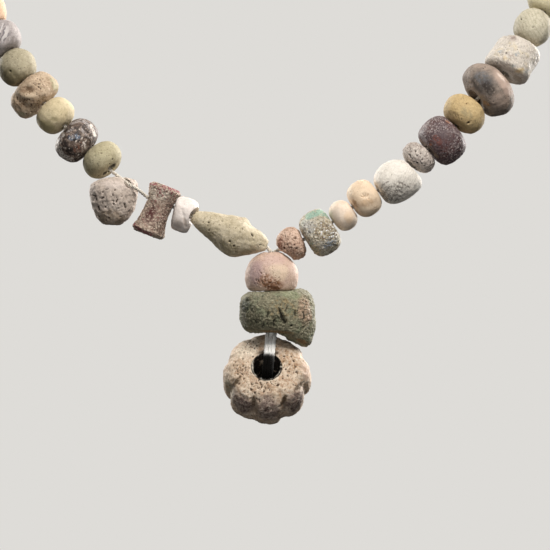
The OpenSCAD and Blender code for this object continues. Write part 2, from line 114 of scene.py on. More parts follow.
class Surface:
    """The skin of one bead, as points in millimetres from the hanging point."""

    def __init__(self, node, grain=0.2, soften=2):
        self.node = node
        self.grain = grain
        self.piece = new_object(node + "_surface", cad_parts[node].data.copy())
        skin = self.piece.modifiers.new("Skin", "REMESH")
        skin.mode = "VOXEL"
        skin.voxel_size = grain * MM
        soft = self.piece.modifiers.new("Soften", "SMOOTH")
        soft.iterations = soften
        shown = self.piece.evaluated_get(bpy.context.evaluated_depsgraph_get())
        mesh = bpy.data.meshes.new_from_object(shown)
        self.piece.modifiers.clear()
        self.piece.data = mesh
        mesh.materials.clear()
        count = len(mesh.vertices)
        points = np.empty(count * 3, np.float32)
        mesh.vertices.foreach_get("co", points)
        self.points = points.reshape(-1, 3).astype(float) / MM - np.array(HANGING_POINT)
        edges = np.empty(len(mesh.edges) * 2, np.int32)
        mesh.edges.foreach_get("vertices", edges)
        self.edges = edges.reshape(-1, 2)
        self.normals = self.read_normals()
        self.marks = {"pit": np.zeros(count)}
        faces = [tuple(face.vertices) for face in mesh.polygons]
        self.solid = BVHTree.FromPolygons([Vector(p) for p in self.points], faces)
        self.near = kdtree.KDTree(count)
        for i, point in enumerate(self.points):
            self.near.insert(point, i)
        self.near.balance()

    def read_normals(self):
        normals = np.empty(len(self.piece.data.vertices) * 3, np.float32)
        self.piece.data.vertex_normals.foreach_get("vector", normals)
        return normals.reshape(-1, 3).astype(float)

    def front(self, across, up):
        """The point of the surface that shows at a place from the front."""
        hit = self.solid.ray_cast(Vector((across, -IN_FRONT, up)), Vector((0, 1, 0)))[0]
        if hit is None:
            # The place is past the outline: the nearest point, and of those the foremost
            away = (self.points[:, 0] - across) ** 2 + (self.points[:, 2] - up) ** 2
            hit = self.points[np.argmin(away + 0.01 * self.points[:, 1])]
        return np.array(hit)

    def move(self, heights):
        self.points += self.normals * heights[:, None]

    def roughen(self, *layers):
        """Layers of lumps, each with a size, a height in mm and a seed."""
        for size, height, seed in layers:
            shift = Vector((seed * 7.3, seed * 3.1, -seed * 5.7))
            lumps = [noise.fractal(Vector(p / size) + shift, *LUMPS) for p in self.points]
            self.move(height * np.array(lumps))

    def distance(self, centre, size, stretch=1.0, turn=0.0):
        """How far each point is from a place, in sizes, and less so along turn, in degrees."""
        offset = self.points - centre
        c, s = math.cos(math.radians(turn)), math.sin(math.radians(turn))
        along = offset[:, 0] * c + offset[:, 2] * s
        over = offset[:, 2] * c - offset[:, 0] * s
        return np.sqrt((along / stretch) ** 2 + offset[:, 1] ** 2 + over**2) / size

    def mound(self, across, up, size, height, stretch=1.0, turn=0.0):
        """A soft rise round a place, or a dent where the height is below zero."""
        steep = 1.5
        away = self.distance(self.front(across, up), size, stretch, turn)
        self.move(height * np.exp(-(away**2) * steep))

    def pits(self, places):
        """Pits of soil, each (across, up, size, depth) and, where it isn't round, stretch, turn."""
        flat, wall, soiled_depth = 0.45, 0.75, 0.3
        for across, up, size, depth, *shape in places:
            away = self.distance(self.front(across, up), size, *shape)
            bowl = ease(1 - (away - flat) / wall)
            self.move(-depth * bowl)
            self.mark("pit", bowl * min(1.0, depth / soiled_depth))

    def pores(self, count, sizes, depth, seed, within=None):
        """Scattered pits over the whole bead, or within (across, up, reach) at the front."""
        flat, wall = 0.3, 0.8
        random = np.random.default_rng(seed)
        chosen = np.arange(len(self.points))
        if within:
            across, up, reach = within
            near = np.hypot(self.points[:, 0] - across, self.points[:, 2] - up) < reach
            chosen = chosen[near & (self.normals[:, 1] < -0.2)]
        pit = self.marks["pit"]
        for i in random.choice(chosen, count):
            size = random.uniform(*sizes)
            for _, k, away in self.near.find_range(Vector(self.points[i]), size * 1.3):
                bowl = 1 - min(1.0, max(0.0, (away / size - flat) / wall))
                self.points[k] -= self.normals[k] * depth * bowl * size / sizes[1]
                pit[k] = max(pit[k], bowl)

    def along(self, line, reach):
        """How near each front point is to a line of places: one on the line, zero at its reach."""
        flat = self.points[:, [0, 2]]
        away = np.full(len(flat), np.inf)
        for start, end in zip(np.array(line, float), np.array(line[1:], float)):
            run = end - start
            part = np.clip((flat - start) @ run / (run @ run), 0, 1)
            away = np.minimum(away, np.linalg.norm(flat - start - part[:, None] * run, axis=1))
        return np.where(self.normals[:, 1] < 0.1, ease(1 - away / reach), 0)

    def carve(self, line, reach, depth, soil=1.0):
        """A groove with soil in it along a line of places, or a ridge for a depth below zero."""
        groove = self.along(line, reach)
        self.move(-depth * groove)
        if depth > 0:
            self.mark("pit", groove * soil)

    def mark(self, name, strength):
        """Keeps a mark on the points, which the finish colours."""
        self.marks[name] = np.maximum(self.marks.get(name, 0), strength)

    def trace(self, name, reach, *lines):
        """Marks bands along lines of places, for the finish to colour."""
        for line in lines:
            self.mark(name, self.along(line, reach))

    def crests(self):
        """How far each point stands out from its neighbours: above zero on lips."""
        a, b = self.edges.T
        count = len(self.points)
        valence = np.bincount(np.concatenate([a, b]), minlength=count)[:, None]

        def spread(values):
            total = [
                np.bincount(a, v[b], minlength=count) + np.bincount(b, v[a], minlength=count)
                for v in values.T
            ]
            return np.stack(total, 1) / valence

        crest = ((self.points - spread(self.points)) * self.normals).sum(1)[:, None] / self.grain
        own, rounds = 0.4, 4
        for _ in range(rounds):
            crest = own * crest + (1 - own) * spread(crest)
        return crest[:, 0]

    def close(self, finish, body="string", **skin):
        """Writes the worn skin back, gives it its finish and lets it stand for its node."""
        mesh = self.piece.data
        place = (self.points + np.array(HANGING_POINT)) * MM
        mesh.vertices.foreach_set("co", place.astype(np.float32).ravel())
        mesh.update()
        self.normals = self.read_normals()
        self.marks["crest"] = self.crests()
        for name, values in self.marks.items():
            kept = mesh.attributes.new(name, "FLOAT", "POINT")
            kept.data.foreach_set("value", values.astype(np.float32))
        mesh.polygons.foreach_set("use_smooth", [True] * len(mesh.polygons))
        mesh.materials.append(finish.close(**skin))
        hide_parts(self.node)
        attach(self.piece, body)


class Finish:
    """One material, built up in layers as the real surface is. Sizes are in millimetres."""

    def __init__(self, name, ground, surface=None, slot=None):
        self.surface = surface
        self.slot = slot or surface.node
        self.material = bpy.data.materials.new(name)
        self.material.use_nodes = True
        self.tree = self.material.node_tree
        self.tree.nodes.clear()
        metres = self.add("TexCoord", out="Object")
        shift = {"operation": "MULTIPLY_ADD", 1: (1 / MM,) * 3, 2: -HANGING_POINT}
        self.place = self.add("VectorMath", shift, {0: metres})
        self.colour = self.add("RGB")
        self.colour.default_value = linear(ground)
        self.height = None
        self.roughness = None
        self.soil = None

    def add(self, kind, settings=None, links=None, out=0):
        return add(self.tree, kind, settings, links, out)

    def turned(self, stretch, turn, seed=0):
        """The coordinates, drawn out by stretch along turn, in degrees, seen from the front."""
        settings = {
            "vector_type": "TEXTURE",
            "Location": (seed * 13.7, seed * 5.9, -seed * 8.3),
            "Rotation": (0, -math.radians(turn), 0),
            "Scale": (stretch, 1, 1),
        }
        return self.add("Mapping", settings, {0: self.place})

    def cloud(self, size, low, high, seed=0, detail=4, stretch=1.0, turn=0.0):
        """Blotches of a size: none where the noise is below low, full above high."""
        settings = {"Scale": 1 / size, "Detail": detail, "Roughness": 0.6}
        value = self.add("TexNoise", settings, {"Vector": self.turned(stretch, turn, seed)})
        return self.add("MapRange", fade(low, high), {0: value})

    def flecks(self, size, share, radius=0.35, seed=0, stretch=1.0, turn=0.0):
        """Round flecks, one in a cell of the given size, in a share of the cells."""
        cell = {"Vector": self.turned(stretch, turn, seed)}
        outputs = self.add("TexVoronoi", {"Scale": 1 / size}, cell).node.outputs
        dot = self.add("MapRange", fade(radius, radius * 0.5), {0: outputs["Distance"]})
        lot = self.add("SeparateColor", None, {0: outputs["Color"]})
        drawn = self.add("Math", {"operation": "LESS_THAN", 1: share}, {0: lot})
        return self.add("Math", {"operation": "MULTIPLY"}, {0: dot, 1: drawn})

    def streaks(self, spacing, turn, low=0.4, high=0.6, wander=2.0, seed=0):
        """Wandering bands across turn, in degrees."""
        settings = {"Scale": WAVE_SPACING / spacing, "Detail": 3.0, "Detail Scale": 1.5}
        settings["Distortion"] = wander
        waves = self.add("TexWave", settings, {"Vector": self.turned(1.0, turn, seed)}, "Fac")
        return self.add("MapRange", fade(low, high), {0: waves})

    def patch(self, across, up, wide, high=None, turn=0.0, soft=0.5, ragged=0.5):
        """A ragged patch round a place on the front."""
        high = high or wide
        small = min(wide, high)
        settings = {"Scale": 0.9 / small, "Detail": 4.0}
        wobble = self.add("TexNoise", settings, {"Vector": self.place}, "Color")
        reach = ragged * small
        shake = {"operation": "MULTIPLY_ADD", 1: (2 * reach,) * 3, 2: (-reach,) * 3}
        shift = self.add("VectorMath", shake, {0: wobble})
        shaken = self.add("VectorMath", {"operation": "ADD"}, {0: self.place, 1: shift})
        settings = {
            "vector_type": "TEXTURE",
            "Location": self.surface.front(across, up),
            "Rotation": (0, -math.radians(turn), 0),
            "Scale": (wide, max(wide, high), high),
        }
        local = self.add("Mapping", settings, {0: shaken})
        return self.within(local, soft)

    def within(self, local, soft):
        """Where the coordinates lie within one of their middle, with a soft edge."""
        away = self.add("VectorMath", {"operation": "LENGTH"}, {0: local}, "Value")
        return self.add("MapRange", fade(1.0, 1.0 - soft), {0: away})

    def marked(self, name, low=0.2, high=0.8):
        """Where the surface keeps a mark."""
        value = self.add("Attribute", {"attribute_name": name}, out="Fac")
        return self.add("MapRange", fade(low, high), {0: value})

    def lay(self, colour, *masks, share=1.0):
        """Lays a colour over the ground where all the masks are."""
        mask = masks[0]
        for other in masks[1:]:
            mask = self.add("Math", {"operation": "MULTIPLY"}, {0: mask, 1: other})
        if share < 1:
            mask = self.add("Math", {"operation": "MULTIPLY", 1: share}, {0: mask})
        # The mix's colour sockets share their names with its others, so they go by number
        settings = {"data_type": "RGBA", 7: linear(colour)}
        self.colour = self.add("Mix", settings, {0: mask, 6: self.colour}, 2)

    def stain(self, colour, share, patch, cloud=None):
        """Stains a patch, broken up by a cloud where one is given."""
        masks = [self.patch(*patch)] + ([self.cloud(*cloud)] if cloud else [])
        self.lay(colour, *masks, share=share)

    def summed(self, total, mask, by):
        """A total with so much of a mask added."""
        step = {"operation": "MULTIPLY_ADD", 1: by, 2: 0.0}
        return self.add("Math", step, {0: mask, **({2: total} if total else {})})

    def raised(self, mask, by):
        """Raises the mask by so many mm, or sinks it where that is below zero."""
        self.height = self.summed(self.height, mask, by)

    def gloss(self, mask, by):
        """Makes the mask rougher, or glossier where that is below zero."""
        self.roughness = self.summed(self.roughness, mask, by)

    def grain(self, size, by, seed):
        """The fine tooth of the surface."""
        settings = {"Scale": 1 / size, "Detail": 6.0, "Roughness": 0.7}
        self.raised(self.add("TexNoise", settings, {"Vector": self.turned(1.0, 0, seed)}), by)

    def polish(self, by):
        """A polish that is worn through in places."""
        self.gloss(self.cloud(2.0, 0.35, 0.6, 15), -by)

    def soil_and_lip_highlight(self, hollow, lip, lip_share):
        """Soil in the pits and hollows, and a paler tone on the lips and edges: rubbed wear and a
        painted highlight.
        """
        self.lay(hollow, self.marked("crest", -0.03, -0.16), share=0.55)
        # Painted highlight, with rubbed wear: lips and edges paler wherever they stand out
        self.lay(lip, self.marked("crest", 0.05, 0.2), share=lip_share)
        self.lay(hollow, self.marked("pit", 0.25, 0.85), share=0.92)

    def close(self, base=0.72, ior=1.5, specular=0.35):
        """Lays the soil and the lips' painted highlight last, joins the layers to the shader and
        returns the material.
        """
        if self.soil:
            self.soil_and_lip_highlight(*self.soil)
        settings = {"Specular IOR Level": specular, "IOR": ior, "Roughness": base}
        links = {"Base Color": self.colour}
        if self.roughness:
            step = {"operation": "ADD", 1: base}
            links["Roughness"] = self.add("Math", step, {0: self.roughness})
        if self.height:
            relief = {"Strength": 1.0, "Distance": MM}
            links["Normal"] = self.add("Bump", relief, {"Height": self.height})
        shader = self.add("BsdfPrincipled", settings, links)
        self.add("OutputMaterial", None, {0: shader})
        return self.material


def painted_bore_shade(finish, reach, depth, soft):
    """Where a finish lies inside the melon ring's bore, which light doesn't reach: the mask for its
    painted shade.
    """
    rise = (math.sin(RING_TILT) * BORE_RISE, RING_UP + math.cos(RING_TILT) * BORE_RISE)
    settings = {
        "vector_type": "TEXTURE",
        "Location": (RING_ACROSS, *rise),
        "Rotation": (-RING_TILT, 0, 0),
        "Scale": (reach, depth, reach),
    }
    bore = finish.add("Mapping", settings, {0: finish.place})
    mouth_soft = 0.07
    parts = []
    for axes, edge in (((1, 0, 1), soft), ((0, 1, 0), mouth_soft)):
        part = finish.add("VectorMath", {"operation": "MULTIPLY", 1: axes}, {0: bore})
        parts.append(finish.within(part, edge))
    return finish.add("Math", {"operation": "MULTIPLY"}, {0: parts[0], 1: parts[1]})


def worn(bead, name, palette, seed, lip_share=0.4, mottle=1.0, tooth=1.0):
    """What all the old beads share: clouds, a close mottle, a fine tooth, soil, and lips paler with
    wear and a painted highlight.

    The palette is the ground, a light and a dark tone of it, the soil in hollows and the lips,
    whose tone is partly a painted highlight.
    """
    ground, light, dark, hollow, lip = palette.split()
    finish = Finish(name, ground, bead)
    finish.lay(light, finish.cloud(2.8, 0.42, 0.68, seed), share=0.6 * mottle)
    finish.lay(dark, finish.cloud(1.4, 0.5, 0.72, seed + 1), share=0.45 * mottle)
    finish.lay(light, finish.cloud(0.5, 0.52, 0.66, seed + 3), share=0.6 * mottle)
    finish.lay(dark, finish.cloud(0.55, 0.5, 0.64, seed + 2), share=0.55 * mottle)
    finish.lay(hollow, finish.flecks(0.6, 0.25, 0.26, seed), share=0.5 * mottle)
    finish.grain(0.34, 0.12 * tooth, seed)
    # The lips' tone is rubbed wear and partly a painted highlight
    finish.soil = (hollow, lip, lip_share)
    return finish


def left_11_peach():
    """Peach clay, burnished before firing: an even, silky skin."""
    bead = Surface("left_11_peach")
    bead.roughen((3.0, 0.1, 1))
    clay = worn(
        bead, "burnished_peach_clay", "#DDBB9C #E9CCB1 #C09A7E #7A5A45 #F0DAC6", 1, mottle=0.6,
    )
    bead.close(clay)


def left_10_striated():
    """Banded limestone, turned and polished: mauve-grey, with wavy bands towards one end."""
    bead = Surface("left_10_striated", 0.185)
    bead.roughen((3.0, 0.1, 2), (0.7, 0.04, 3))
    stone = worn(bead, "banded_limestone", "#A39A97 #B8AFAB #837B79 #453D39 #D6CEC9", 2)
    banded = stone.patch(-55.6, 44.2, 3.2, 3.4, 45)
    stone.lay("#6B6468", stone.streaks(1.0, -30, 0.46, 0.66, 7.0), banded, share=0.8)
    stone.lay("#CBC4C0", stone.streaks(1.3, -24, 0.56, 0.74, 7.0, 2), banded, share=0.8)
    stone.stain("#6A615C", 0.6, (-53.2, 41.4, 2.2, 2.2), (0.8, 0.3, 0.54, 4))
    stone.stain("#BDA593", 0.4, (-57.4, 42.0, 1.4, 1.8, 20))
    bead.close(stone)


def left_9_olive():
    """Marl clay rubbed smooth: khaki, darker towards its lower side, with a few open pits."""
    bead = Surface("left_9_olive", 0.175)
    bead.roughen((3.2, 0.1, 4), (0.8, 0.04, 5))
    bead.pits([
        (-53.6, 36.1, 0.28, 0.45), (-52.75, 37.8, 0.3, 0.1), (-51.5, 36.5, 0.2, 0.2),
        (-54.8, 35.7, 0.22, 0.2), (-55.3, 36.3, 0.2, 0.16), (-54.4, 34.7, 0.22, 0.2),
        (-55.2, 35.0, 0.18, 0.16),
    ])
    bead.pores(16, (0.12, 0.2), 0.1, 6)
    clay = worn(bead, "marl_clay_khaki", "#A39980 #B8AE95 #7F7660 #3A3426 #D8D0B8", 3, 0.5)
    clay.stain("#776D50", 0.8, (-53.6, 34.6, 4.2, 2.8, 10))
    clay.stain("#5E553C", 0.6, (-53.4, 33.4, 3.0, 1.2, -10))
    bead.close(clay)


def left_8_melon():
    """Quartz faience without its glaze: a sandy tan body full of pores, with a hollow middle."""
    bead = Surface("left_8_melon", 0.175)
    bead.roughen((2.4, 0.14, 5), (0.6, 0.07, 6))
    bead.mound(-50.2, 32.3, 0.9, -0.65, 2.4, -4)
    bead.mound(-50.0, 30.9, 0.8, 0.35, 2.8, 4)
    bead.mound(-45.9, 34.6, 0.5, -0.3, 1.6, -50)
    bead.mound(-51.9, 28.4, 0.6, -0.35)
    bead.pits([
        (-47.4, 34.6, 0.26, 0.4), (-47.7, 33.5, 0.22, 0.35), (-47.7, 32.9, 0.24, 0.35),
        (-47.2, 32.5, 0.22, 0.35), (-52.2, 30.7, 0.26, 0.4), (-51.6, 29.8, 0.2, 0.3),
        (-49.6, 30.2, 0.22, 0.35), (-47.7, 29.9, 0.24, 0.35), (-50.6, 30.3, 0.24, 0.35),
        (-50.9, 29.2, 0.2, 0.3), (-49.2, 29.2, 0.2, 0.3), (-48.3, 34.3, 0.18, 0.25),
        (-52.6, 31.9, 0.2, 0.25),
    ])
    bead.pores(110, (0.12, 0.22), 0.2, 8, (-50.0, 29.9, 2.9))
    bead.pores(30, (0.12, 0.22), 0.18, 7, (-47.6, 33.4, 1.4))
    bead.pores(110, (0.12, 0.2), 0.12, 9)
    paste = worn(bead, "bare_faience_tan", "#B39C83 #CBB69C #8F765B #3F2C1B #E3D4BA", 4, 0.6)
    # Painted shade in the fold across the middle
    paste.stain("#6E543B", 0.75, (-50.2, 32.3, 2.6, 0.9, -4), (0.6, 0.3, 0.5, 3))
    # Painted highlight on the ridge below the fold
    paste.stain("#D2BEA4", 0.5, (-50.0, 31.0, 3.0, 0.7, 4), (0.6, 0.36, 0.54, 8))
    paste.stain("#8C6D4F", 0.6, (-49.8, 29.3, 3.0, 1.8), (0.7, 0.38, 0.58, 4))
    paste.stain("#B1AE8C", 0.6, (-44.3, 33.2, 0.9, 2.6, 25), (0.8, 0.2, 0.5, 6))
    paste.stain("#A9A888", 0.5, (-51.4, 27.3, 1.4, 0.7), (0.8, 0.2, 0.5, 7))
    bead.close(paste)


def left_7_cream():
    """Cream glaze worn down to an even, dull skin, a little stained."""
    bead = Surface("left_7_cream", 0.185)
    bead.roughen((3.4, 0.12, 7), (0.8, 0.025, 8))
    bead.pits([(-43.3, 29.2, 0.2, 0.1), (-44.4, 26.0, 0.5, 0.1), (-42.2, 26.9, 0.25, 0.08)])
    glaze = worn(bead, "worn_cream_glaze", "#C5B592 #D8C9A7 #A69676 #675C42 #E9E0C3", 5, 0.5, 0.7)
    glaze.stain("#9C8F68", 0.4, (-44.4, 26.2, 1.1, 0.7))
    glaze.stain("#93875F", 0.6, (-46.0, 24.8, 2.6, 1.6, -35))
    bead.close(glaze)


def left_6_mosaic():
    """Dark glass with marvered cream trails and an eye, pitted and with a silky film."""
    bead = Surface("left_6_mosaic", 0.175)
    bead.roughen((3.0, 0.12, 9), (0.6, 0.05, 10))
    bead.trace("cream_trail", 0.9, [(-44.3, 22.9), (-43.8, 20.4), (-42.6, 18.7), (-40.8, 17.8)])
    bead.trace("cream_trail", 0.6, [(-43.1, 24.4), (-42.5, 22.8)], [(-36.9, 25.0), (-36.1, 22.9)])
    bead.trace("cream_trail", 0.5, [(-42.9, 25.4), (-41.6, 26.0)], [(-38.4, 21.4), (-38.0, 20.4)])
    bead.trace("grey_trail", 0.55, [(-40.9, 25.3), (-39.2, 26.0), (-38.0, 25.6), (-37.2, 24.4)])
    bead.trace(
        "grey_trail", 0.5, [(-38.9, 24.2), (-38.2, 23.2), (-37.2, 22.5)],
        [(-41.7, 23.6), (-40.6, 24.2)],
    )
    bead.trace("eye", 1.0, [(-41.0, 22.4), (-39.7, 22.6)])
    bead.pores(40, (0.12, 0.24), 0.12, 11)
    glass = Finish("weathered_dark_glass", "#352C28", bead)
    glass.lay("#66564C", glass.cloud(1.2, 0.42, 0.6, 6), share=0.85)
    glass.lay("#9A897C", glass.cloud(0.6, 0.5, 0.6, 7), share=0.75)
    glass.lay("#5B6574", glass.marked("eye", 0.1, 0.6), glass.cloud(0.5, 0.4, 0.56, 4), share=0.9)
    glass.lay(
        "#C9D0D8", glass.marked("eye", 0.5, 0.9), glass.cloud(0.45, 0.52, 0.62, 14), share=0.8,
    )
    glass.stain("#08080B", 0.9, (-40.2, 22.0, 0.5, 0.4))
    glass.stain("#14100F", 0.85, (-41.3, 19.7, 1.5, 1.1, 20), (0.6, 0.36, 0.54, 16))
    glass.stain("#6E4A3A", 0.85, (-39.4, 20.4, 1.7, 1.3, 40), (0.5, 0.46, 0.56, 9))
    glass.lay(
        "#CDBFB0", glass.patch(-39.2, 20.6, 1.6, 1.4, 40), glass.flecks(0.45, 0.45, 0.32, 15),
        share=0.8,
    )
    glass.lay("#A49C98", glass.marked("grey_trail"), glass.cloud(0.35, 0.4, 0.56, 5), share=0.9)
    glass.lay("#D3C9BE", glass.marked("cream_trail"), glass.cloud(0.4, 0.4, 0.54, 3), share=0.95)
    glass.lay("#CFC3B7", glass.flecks(0.6, 0.5, 0.34, 8, 2.0, 60), share=0.8)
    glass.raised(glass.cloud(0.5, 0.4, 0.6, 2), 0.04)
    glass.gloss(glass.cloud(0.9, 0.4, 0.65, 12), 0.3)
    glass.soil = ("#120F0C", "#7C6D60", 0.3)
    bead.close(glass, base=0.5, ior=1.52, specular=0.35)


def left_5_round():
    """Fine khaki clay, smooth, with pin-holes and a mouth broken where the string wears it."""
    bead = Surface("left_5_round", 0.165)
    bead.roughen((3.0, 0.08, 11), (0.7, 0.03, 12))
    bead.pits([
        (-32.6, 16.4, 0.6, 0.7, 1.5, 35), (-34.0, 15.2, 0.4, 0.5, 1.4, 30), (-34.8, 19.2, 0.2, 0.2),
        (-32.4, 18.0, 0.22, 0.3), (-33.0, 17.0, 0.2, 0.25), (-35.6, 17.0, 0.2, 0.18),
        (-33.6, 19.9, 0.18, 0.16), (-36.1, 18.6, 0.18, 0.14), (-31.6, 17.4, 0.16, 0.2),
    ])
    bead.pores(70, (0.11, 0.18), 0.12, 13)
    clay = worn(bead, "fine_khaki_clay", "#ACA283 #BCB396 #8B8164 #332B1D #DAD2B4", 7, 0.5, 0.8)
    clay.stain("#776D53", 0.55, (-35.8, 15.4, 3.0, 1.7, -30), (1.0, 0.2, 0.5, 5))
    # Painted shade: near black in the two bore mouths where the string runs in
    clay.stain("#15100A", 0.9, (-32.6, 16.4, 1.4, 0.8, 35, 0.5, 0.3))
    clay.stain("#15100A", 0.85, (-34.0, 15.1, 0.8, 0.5, 30, 0.5, 0.3))
    bead.close(clay)


def left_4_pierced_lump():
    """Limestone worn by water: pinkish grey, browner below, with slits and pits eaten into it."""
    bead = Surface("left_4_pierced_lump", 0.165)
    bead.roughen((4.0, 0.25, 13), (1.2, 0.12, 14), (0.5, 0.08, 15))
    for line, reach, depth in (
        ([(-34.8, 9.9), (-34.3, 10.15)], 0.26, 0.35),
        ([(-32.45, 10.85), (-32.35, 10.5)], 0.24, 0.3),
        ([(-31.45, 9.7), (-31.7, 9.1)], 0.28, 0.4),
        ([(-32.35, 9.5), (-32.2, 9.3)], 0.24, 0.3),
        ([(-35.6, 8.2), (-35.35, 7.6)], 0.42, 0.6),
        ([(-29.95, 8.8), (-29.75, 8.0)], 0.28, 0.35),
        ([(-33.9, 11.75), (-33.3, 11.9)], 0.2, 0.12),
        ([(-36.5, 10.5), (-36.0, 10.4)], 0.26, 0.3),
    ):
        bead.carve(line, reach, depth)
    bead.carve([(-29.4, 13.1), (-28.3, 12.2), (-27.2, 11.1)], 0.6, 0.25, 0.3)
    bead.pits([
        (-36.25, 12.8, 0.26, 0.35), (-36.0, 9.8, 0.42, 0.5, 1.4, 10), (-31.95, 11.65, 0.24, 0.3),
        (-34.5, 11.25, 0.22, 0.25), (-32.25, 8.8, 0.26, 0.35), (-34.6, 9.0, 0.22, 0.3),
        (-34.05, 8.1, 0.24, 0.4, 1.5, 40), (-31.15, 7.9, 0.22, 0.3), (-33.2, 5.9, 0.28, 0.3),
        (-33.8, 5.4, 0.24, 0.25), (-33.4, 4.9, 0.24, 0.25), (-30.85, 6.2, 0.22, 0.2),
        (-28.95, 13.05, 0.36, 0.45, 1.6, -30), (-35.2, 6.2, 0.26, 0.25, 1.6, -30),
        (-33.3, 9.9, 0.2, 0.25), (-30.5, 10.3, 0.2, 0.2), (-35.3, 11.9, 0.18, 0.2),
        (-30.9, 8.8, 0.18, 0.25), (-33.0, 7.3, 0.18, 0.2), (-31.9, 7.1, 0.16, 0.18),
        (-34.3, 7.0, 0.18, 0.2), (-32.7, 11.3, 0.16, 0.16),
    ])
    bead.pores(90, (0.12, 0.2), 0.18, 16)
    stone = worn(
        bead, "worn_limestone", "#BBAC9F #D0C3B7 #92847A #33281D #E8DED4", 8, 0.6, 0.8, 1.1,
    )
    stone.stain("#7E6C56", 0.7, (-33.0, 5.6, 5.0, 2.6), (1.0, 0.24, 0.5, 6))
    stone.stain("#CDBFB5", 0.6, (-32.4, 12.8, 4.0, 1.2, -8))
    bead.close(stone)


def left_3_spool():
    """Pale clay under a red slip, which has flaked to a speckle and holds along the rims."""
    bead = Surface("left_3_spool", 0.165)
    bead.roughen((3.0, 0.14, 16), (0.45, 0.13, 17))
    bead.trace(
        "red_rim", 0.5, [(-26.0, 12.9), (-25.0, 13.0), (-23.6, 12.9)],
        [(-22.0, 12.4), (-20.4, 12.1), (-18.8, 11.4)],
    )
    bead.trace("red_rim", 0.5, [(-28.0, 4.7), (-27.2, 3.8), (-26.0, 3.1), (-24.6, 2.5)])
    bead.trace("bare_edge", 0.8, [(-25.9, 12.2), (-26.2, 9.6), (-27.4, 6.8), (-28.2, 5.1)])
    bead.pores(140, (0.12, 0.22), 0.18, 18)
    slip = worn(
        bead, "flaked_red_slip", "#AC9887 #D2C2B0 #6E4E43 #2A1813 #EADCCB", 9, 0.5, 0.9, 1.2,
    )
    slip.stain("#E2D4C2", 0.9, (-23.2, 10.9, 3.4, 1.8, -16), (0.6, 0.38, 0.5, 2))
    slip.lay("#83504A", slip.cloud(0.5, 0.5, 0.6, 3, 5), slip.cloud(2.2, 0.42, 0.58, 5), share=0.7)
    slip.stain("#8A4A4E", 0.85, (-21.4, 11.2, 3.4, 1.5, -12), (0.45, 0.5, 0.6, 7))
    # Painted shade down the right side, beside the collar
    slip.stain("#54352E", 0.7, (-21.6, 7.0, 1.5, 4.2, -20, 0.6), (0.45, 0.44, 0.58, 12))
    slip.stain("#463227", 0.75, (-22.4, 3.8, 2.6, 2.4), (0.5, 0.4, 0.56, 9))
    slip.lay(
        "#D9CAB6", slip.marked("bare_edge", 0.2, 0.8), slip.cloud(0.45, 0.42, 0.54, 4), share=0.85,
    )
    slip.lay("#E6DAC8", slip.flecks(0.45, 0.4, 0.3, 6), share=0.55)
    slip.stain("#542828", 0.92, (-24.6, 6.8, 1.7, 3.2, -20, 0.7), (0.5, 0.36, 0.54, 8))
    slip.lay(
        "#8C464E", slip.marked("red_rim", 0.15, 0.6), slip.cloud(0.5, 0.4, 0.52, 10), share=0.85,
    )
    slip.raised(slip.cloud(0.4, 0.44, 0.58, 13), 0.08)
    bead.close(slip)


def left_2_collar():
    """Polished shell: near white, dense and faintly waxy, with a rolled lip round its mouth."""
    bead = Surface("left_2_collar", 0.165, soften=3)
    bead.roughen((2.6, 0.08, 19), (0.8, 0.02, 18))
    bead.mound(-19.3, 5.2, 1.2, 0.16, 1.6, 70)
    bead.carve([(-18.3, 7.6), (-17.9, 6.0), (-17.5, 4.2)], 0.5, 0.12, 0.3)
    shell = worn(
        bead, "polished_shell", "#DBD0C8 #EAE2DC #BFB1A8 #6E5E52 #FBF7F3", 10, 0.6, 0.6, 0.6,
    )
    # Painted shade along the crease by the rolled lip
    shell.stain("#B0A095", 0.5, (-18.9, 4.6, 1.1, 1.6, 15))
    shell.stain("#C4B2A4", 0.6, (-17.6, 5.0, 0.5, 1.4, 15))
    shell.polish(0.15)
    bead.close(shell, base=0.6, ior=1.53, specular=0.4)


